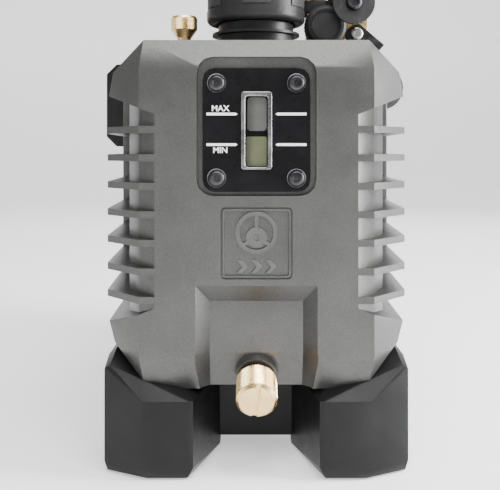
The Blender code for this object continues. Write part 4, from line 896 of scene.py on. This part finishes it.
def makeDataPlate():
    # a curved foil plate with raised rules, where a rating table would be
    look = {"start": -12, "end": 16, "low": 0.020, "high": 0.066, "thick": 0.0005, "rule": 0.00012,
            "lines": 6, "radius": 0.0750, "margin": 2.5, "half": 0.28, "side": 0.003, "short": 0.014}
    motorZ, radius = (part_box("fan_cowl")[0].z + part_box("fan_cowl")[1].z) / 2, look["radius"]

    def curved(name, start, end, front, back, inner, outer):
        outline = arcPoints((0, motorZ), outer, start, end, 14)
        outline += arcPoints((0, motorZ), inner, end, start, 14)
        return plate(name, outline, front, back, facing)

    panel = curved("dataPlate", look["start"], look["end"], look["low"], look["high"], radius - 0.0006,
                   radius + look["thick"])
    finishPiece(bevel(panel, 0.0001, 1, 40), "housing", paints["bezel"])
    rules, span = [], (look["end"] - look["start"] - 2 * look["margin"]) / look["lines"]
    for i in range(look["lines"] + 1):
        turn = look["start"] + look["margin"] + i * span
        back = look["high"] - (look["side"] if i % 3 else look["short"])
        rules.append(curved("dataRule", turn - look["half"], turn + look["half"], look["low"] + look["side"],
                            back, radius, radius + look["thick"] + look["rule"]))
    finishPiece(joinAs(rules, "dataRules"), "housing", paints["gloss"])


makePumpFrame()
makeMotor()
makeDataPlate()
print("motor ready")


# electrical boxes
def makeSwitchBox():
    look = {"screw": {"head": 0.0030, "tall": 0.0012, "socket": 0.0014, "deep": 0.0009}, "inset": 0.0085,
            "chamfer": 0.006, "along": 0.004}
    box = castCopy("switch_box", "switchBox", 0.0010, 3)
    low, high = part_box("switch_box")
    finishPiece(box, "housing", paints["plastic"], ["switch_box"])
    screws = []
    for x in (low.x + look["inset"] + look["chamfer"], high.x - look["inset"]):
        for y in (low.y + look["inset"] + look["along"], high.y - look["inset"] - look["along"]):
            screws.append(socketScrew("boxScrew", look["screw"], (x, y, high.z - 0.0001), upward))
    finishPiece(joinAs(screws, "switchBoxScrews"), "housing", paints["oxide"])


def makeSmallBoxes():
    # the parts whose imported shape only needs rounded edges
    for node, name, edge, segments, body, paint, slotName in (
        ("rocker_switch", "powerRocker", 0.0004, 2, "rocker", "rockerRed", "black_gloss"),
        ("power_inlet", "powerInlet", 0.0004, 2, "housing", "plastic", "black_plastic"),
        ("capacitor_cover", "capacitorCover", 0.0010, 3, "housing", "castMotor", "cast_grey"),
    ):
        finishPiece(castCopy(node, name, edge, segments), body, paints[paint], [node])


makeSwitchBox()
makeSmallBoxes()
print("boxes ready")


# handle
def makeHandle():
    look = {"edge": 0.0014, "bands": 20, "band": 0.0012, "proud": 0.0005, "gap": 0.0045, "margin": 0.004,
            "wall": 0.0012, "round": 0.0075, "innerRound": 0.0060}
    handle = castCopy("handle", "carryHandle", look["edge"], 3)
    finishPiece(handle, "housing", paints["plastic"], ["handle"])
    grip = castCopy("handle_grip", "handleGrip", 0.0012, 3)
    finishPiece(grip, "housing", paints["rubber"], ["handle_grip"])
    # raised bands across the grip
    low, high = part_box("handle_grip")
    first = (low.y + high.y) / 2 - (look["bands"] - 1) * look["gap"] / 2 + 0.00001
    bands, across, wall, proud = [], (high.x - low.x) / 2, look["wall"], look["proud"]
    for i in range(look["bands"]):
        y = first + i * look["gap"]
        if not low.y + look["margin"] < y < high.y - look["margin"]:
            continue
        outer = roundRect(-across - proud, across + proud, low.z - proud, high.z + proud, look["round"])
        inner = roundRect(-across + wall, across - wall, low.z + wall, high.z - wall, look["innerRound"])
        bands.append(frameOf("gripBand", outer, inner, y + look["band"], y, facing))
    bands = bevel(weld(*bands), 0.0003, 1, 40)
    bands.name = "gripBands"
    finishPiece(bands, "housing", paints["rubber"])


makeHandle()
print("handle ready")


# finishes on the CAD nodes that show as they are
def repaintNodes():
    bySlot = {"cast_grey": "castMotor", "black_plastic": "plastic", "black_gloss": "gloss", "brass": "brass",
              "black_screw": "oxide", "steel": "steel", "iron": "iron", "copper": "copper",
              "rubber": "rubber", "sight_glass": "gloss", "vane_composite": "composite"}
    for obj in frame["nodes"].values():
        slotName = obj.data.materials[0].name.split(".")[0]
        obj.data.materials.clear()
        obj.data.materials.append(paints[bySlot[slotName]])


repaintNodes()
print("CAD nodes repainted")


# stage
def makeStage():
    look = {"floor": 6.0, "round": 0.6, "tone": (0.93, 0.93, 0.93), "glow": 0.62}
    deselect()
    bpy.ops.mesh.primitive_plane_add(size=look["floor"], location=(0, 0, 0))
    floor = settle(bpy.context.active_object, "studioFloor")
    edit(floor, "EDGE", "DESELECT")
    leave()
    for edge in floor.data.edges:
        edge.select = all(floor.data.vertices[v].co.y > 0 for v in edge.vertices)
    bpy.ops.object.mode_set(mode="EDIT")
    bpy.ops.mesh.extrude_region_move(TRANSFORM_OT_translate={"value": (0, 0, look["floor"] / 2)})
    leave()
    bevel(floor, look["round"], 12, 30, False)
    paint = Paint("studioPaper")
    paper = paint.noise(6, 3.0, 0.5)
    lighter = tuple(c + 0.02 for c in look["tone"])
    paint.set(colour=paint.mix(paper.ramp(0.2, 0.8), look["tone"], lighter), rough=0.8)
    paint.feed(paint.shader.inputs["Emission Color"], (1, 1, 1, 1))
    paint.feed(paint.shader.inputs["Emission Strength"], look["glow"])
    floor.data.materials.append(paint.material)
    bpy.ops.object.shade_smooth_by_angle(angle=math.radians(40))


def makeLight(name, spot, target, size, power):
    deselect()
    bpy.ops.object.light_add(type="AREA", location=spot)
    lamp = bpy.context.active_object
    lamp.name = name
    lamp.data.shape = "RECTANGLE"
    lamp.data.size, lamp.data.size_y = size
    lamp.data.energy = power
    lamp.rotation_euler = (Vector(target) - Vector(spot)).to_track_quat("-Z", "Y").to_euler()


def makeLights():
    world = bpy.data.worlds.new("studio")
    world.use_nodes = True
    world.node_tree.nodes["Background"].inputs["Color"].default_value = (1, 1, 1, 1)
    world.node_tree.nodes["Background"].inputs["Strength"].default_value = 0.50
    bpy.context.scene.world = world
    makeLight("topSoft", (0.15, -0.80, 1.15), (0, -0.10, 0.14), (1.0, 0.6), 20)
    makeLight("leftSoft", (-1.10, -0.80, 0.60), (0, -0.10, 0.14), (0.5, 1.2), 2.5)
    makeLight("rightSoft", (1.20, -0.30, 0.42), (0, -0.12, 0.14), (0.5, 1.0), 60)
    makeLight("rearSoft", (0.3, 1.2, 1.0), (0, 0.0, 0.15), (1.4, 1.0), 12)


def makeCamera():
    # level, with the axis above the picture's middle, as a product shot with a shift lens
    view = {"spot": (-0.00325, -0.564, 0.166), "lens": 57.6, "shift": -0.188}
    deselect()
    bpy.ops.object.camera_add(location=view["spot"], rotation=(math.pi / 2, 0, 0))
    camera = bpy.context.active_object
    camera.data.sensor_width = 36
    camera.data.lens = view["lens"]
    camera.data.shift_y = view["shift"]
    camera.data.clip_start = 0.01
    bpy.context.scene.camera = camera


makeStage()
makeLights()
makeCamera()
print("stage ready")
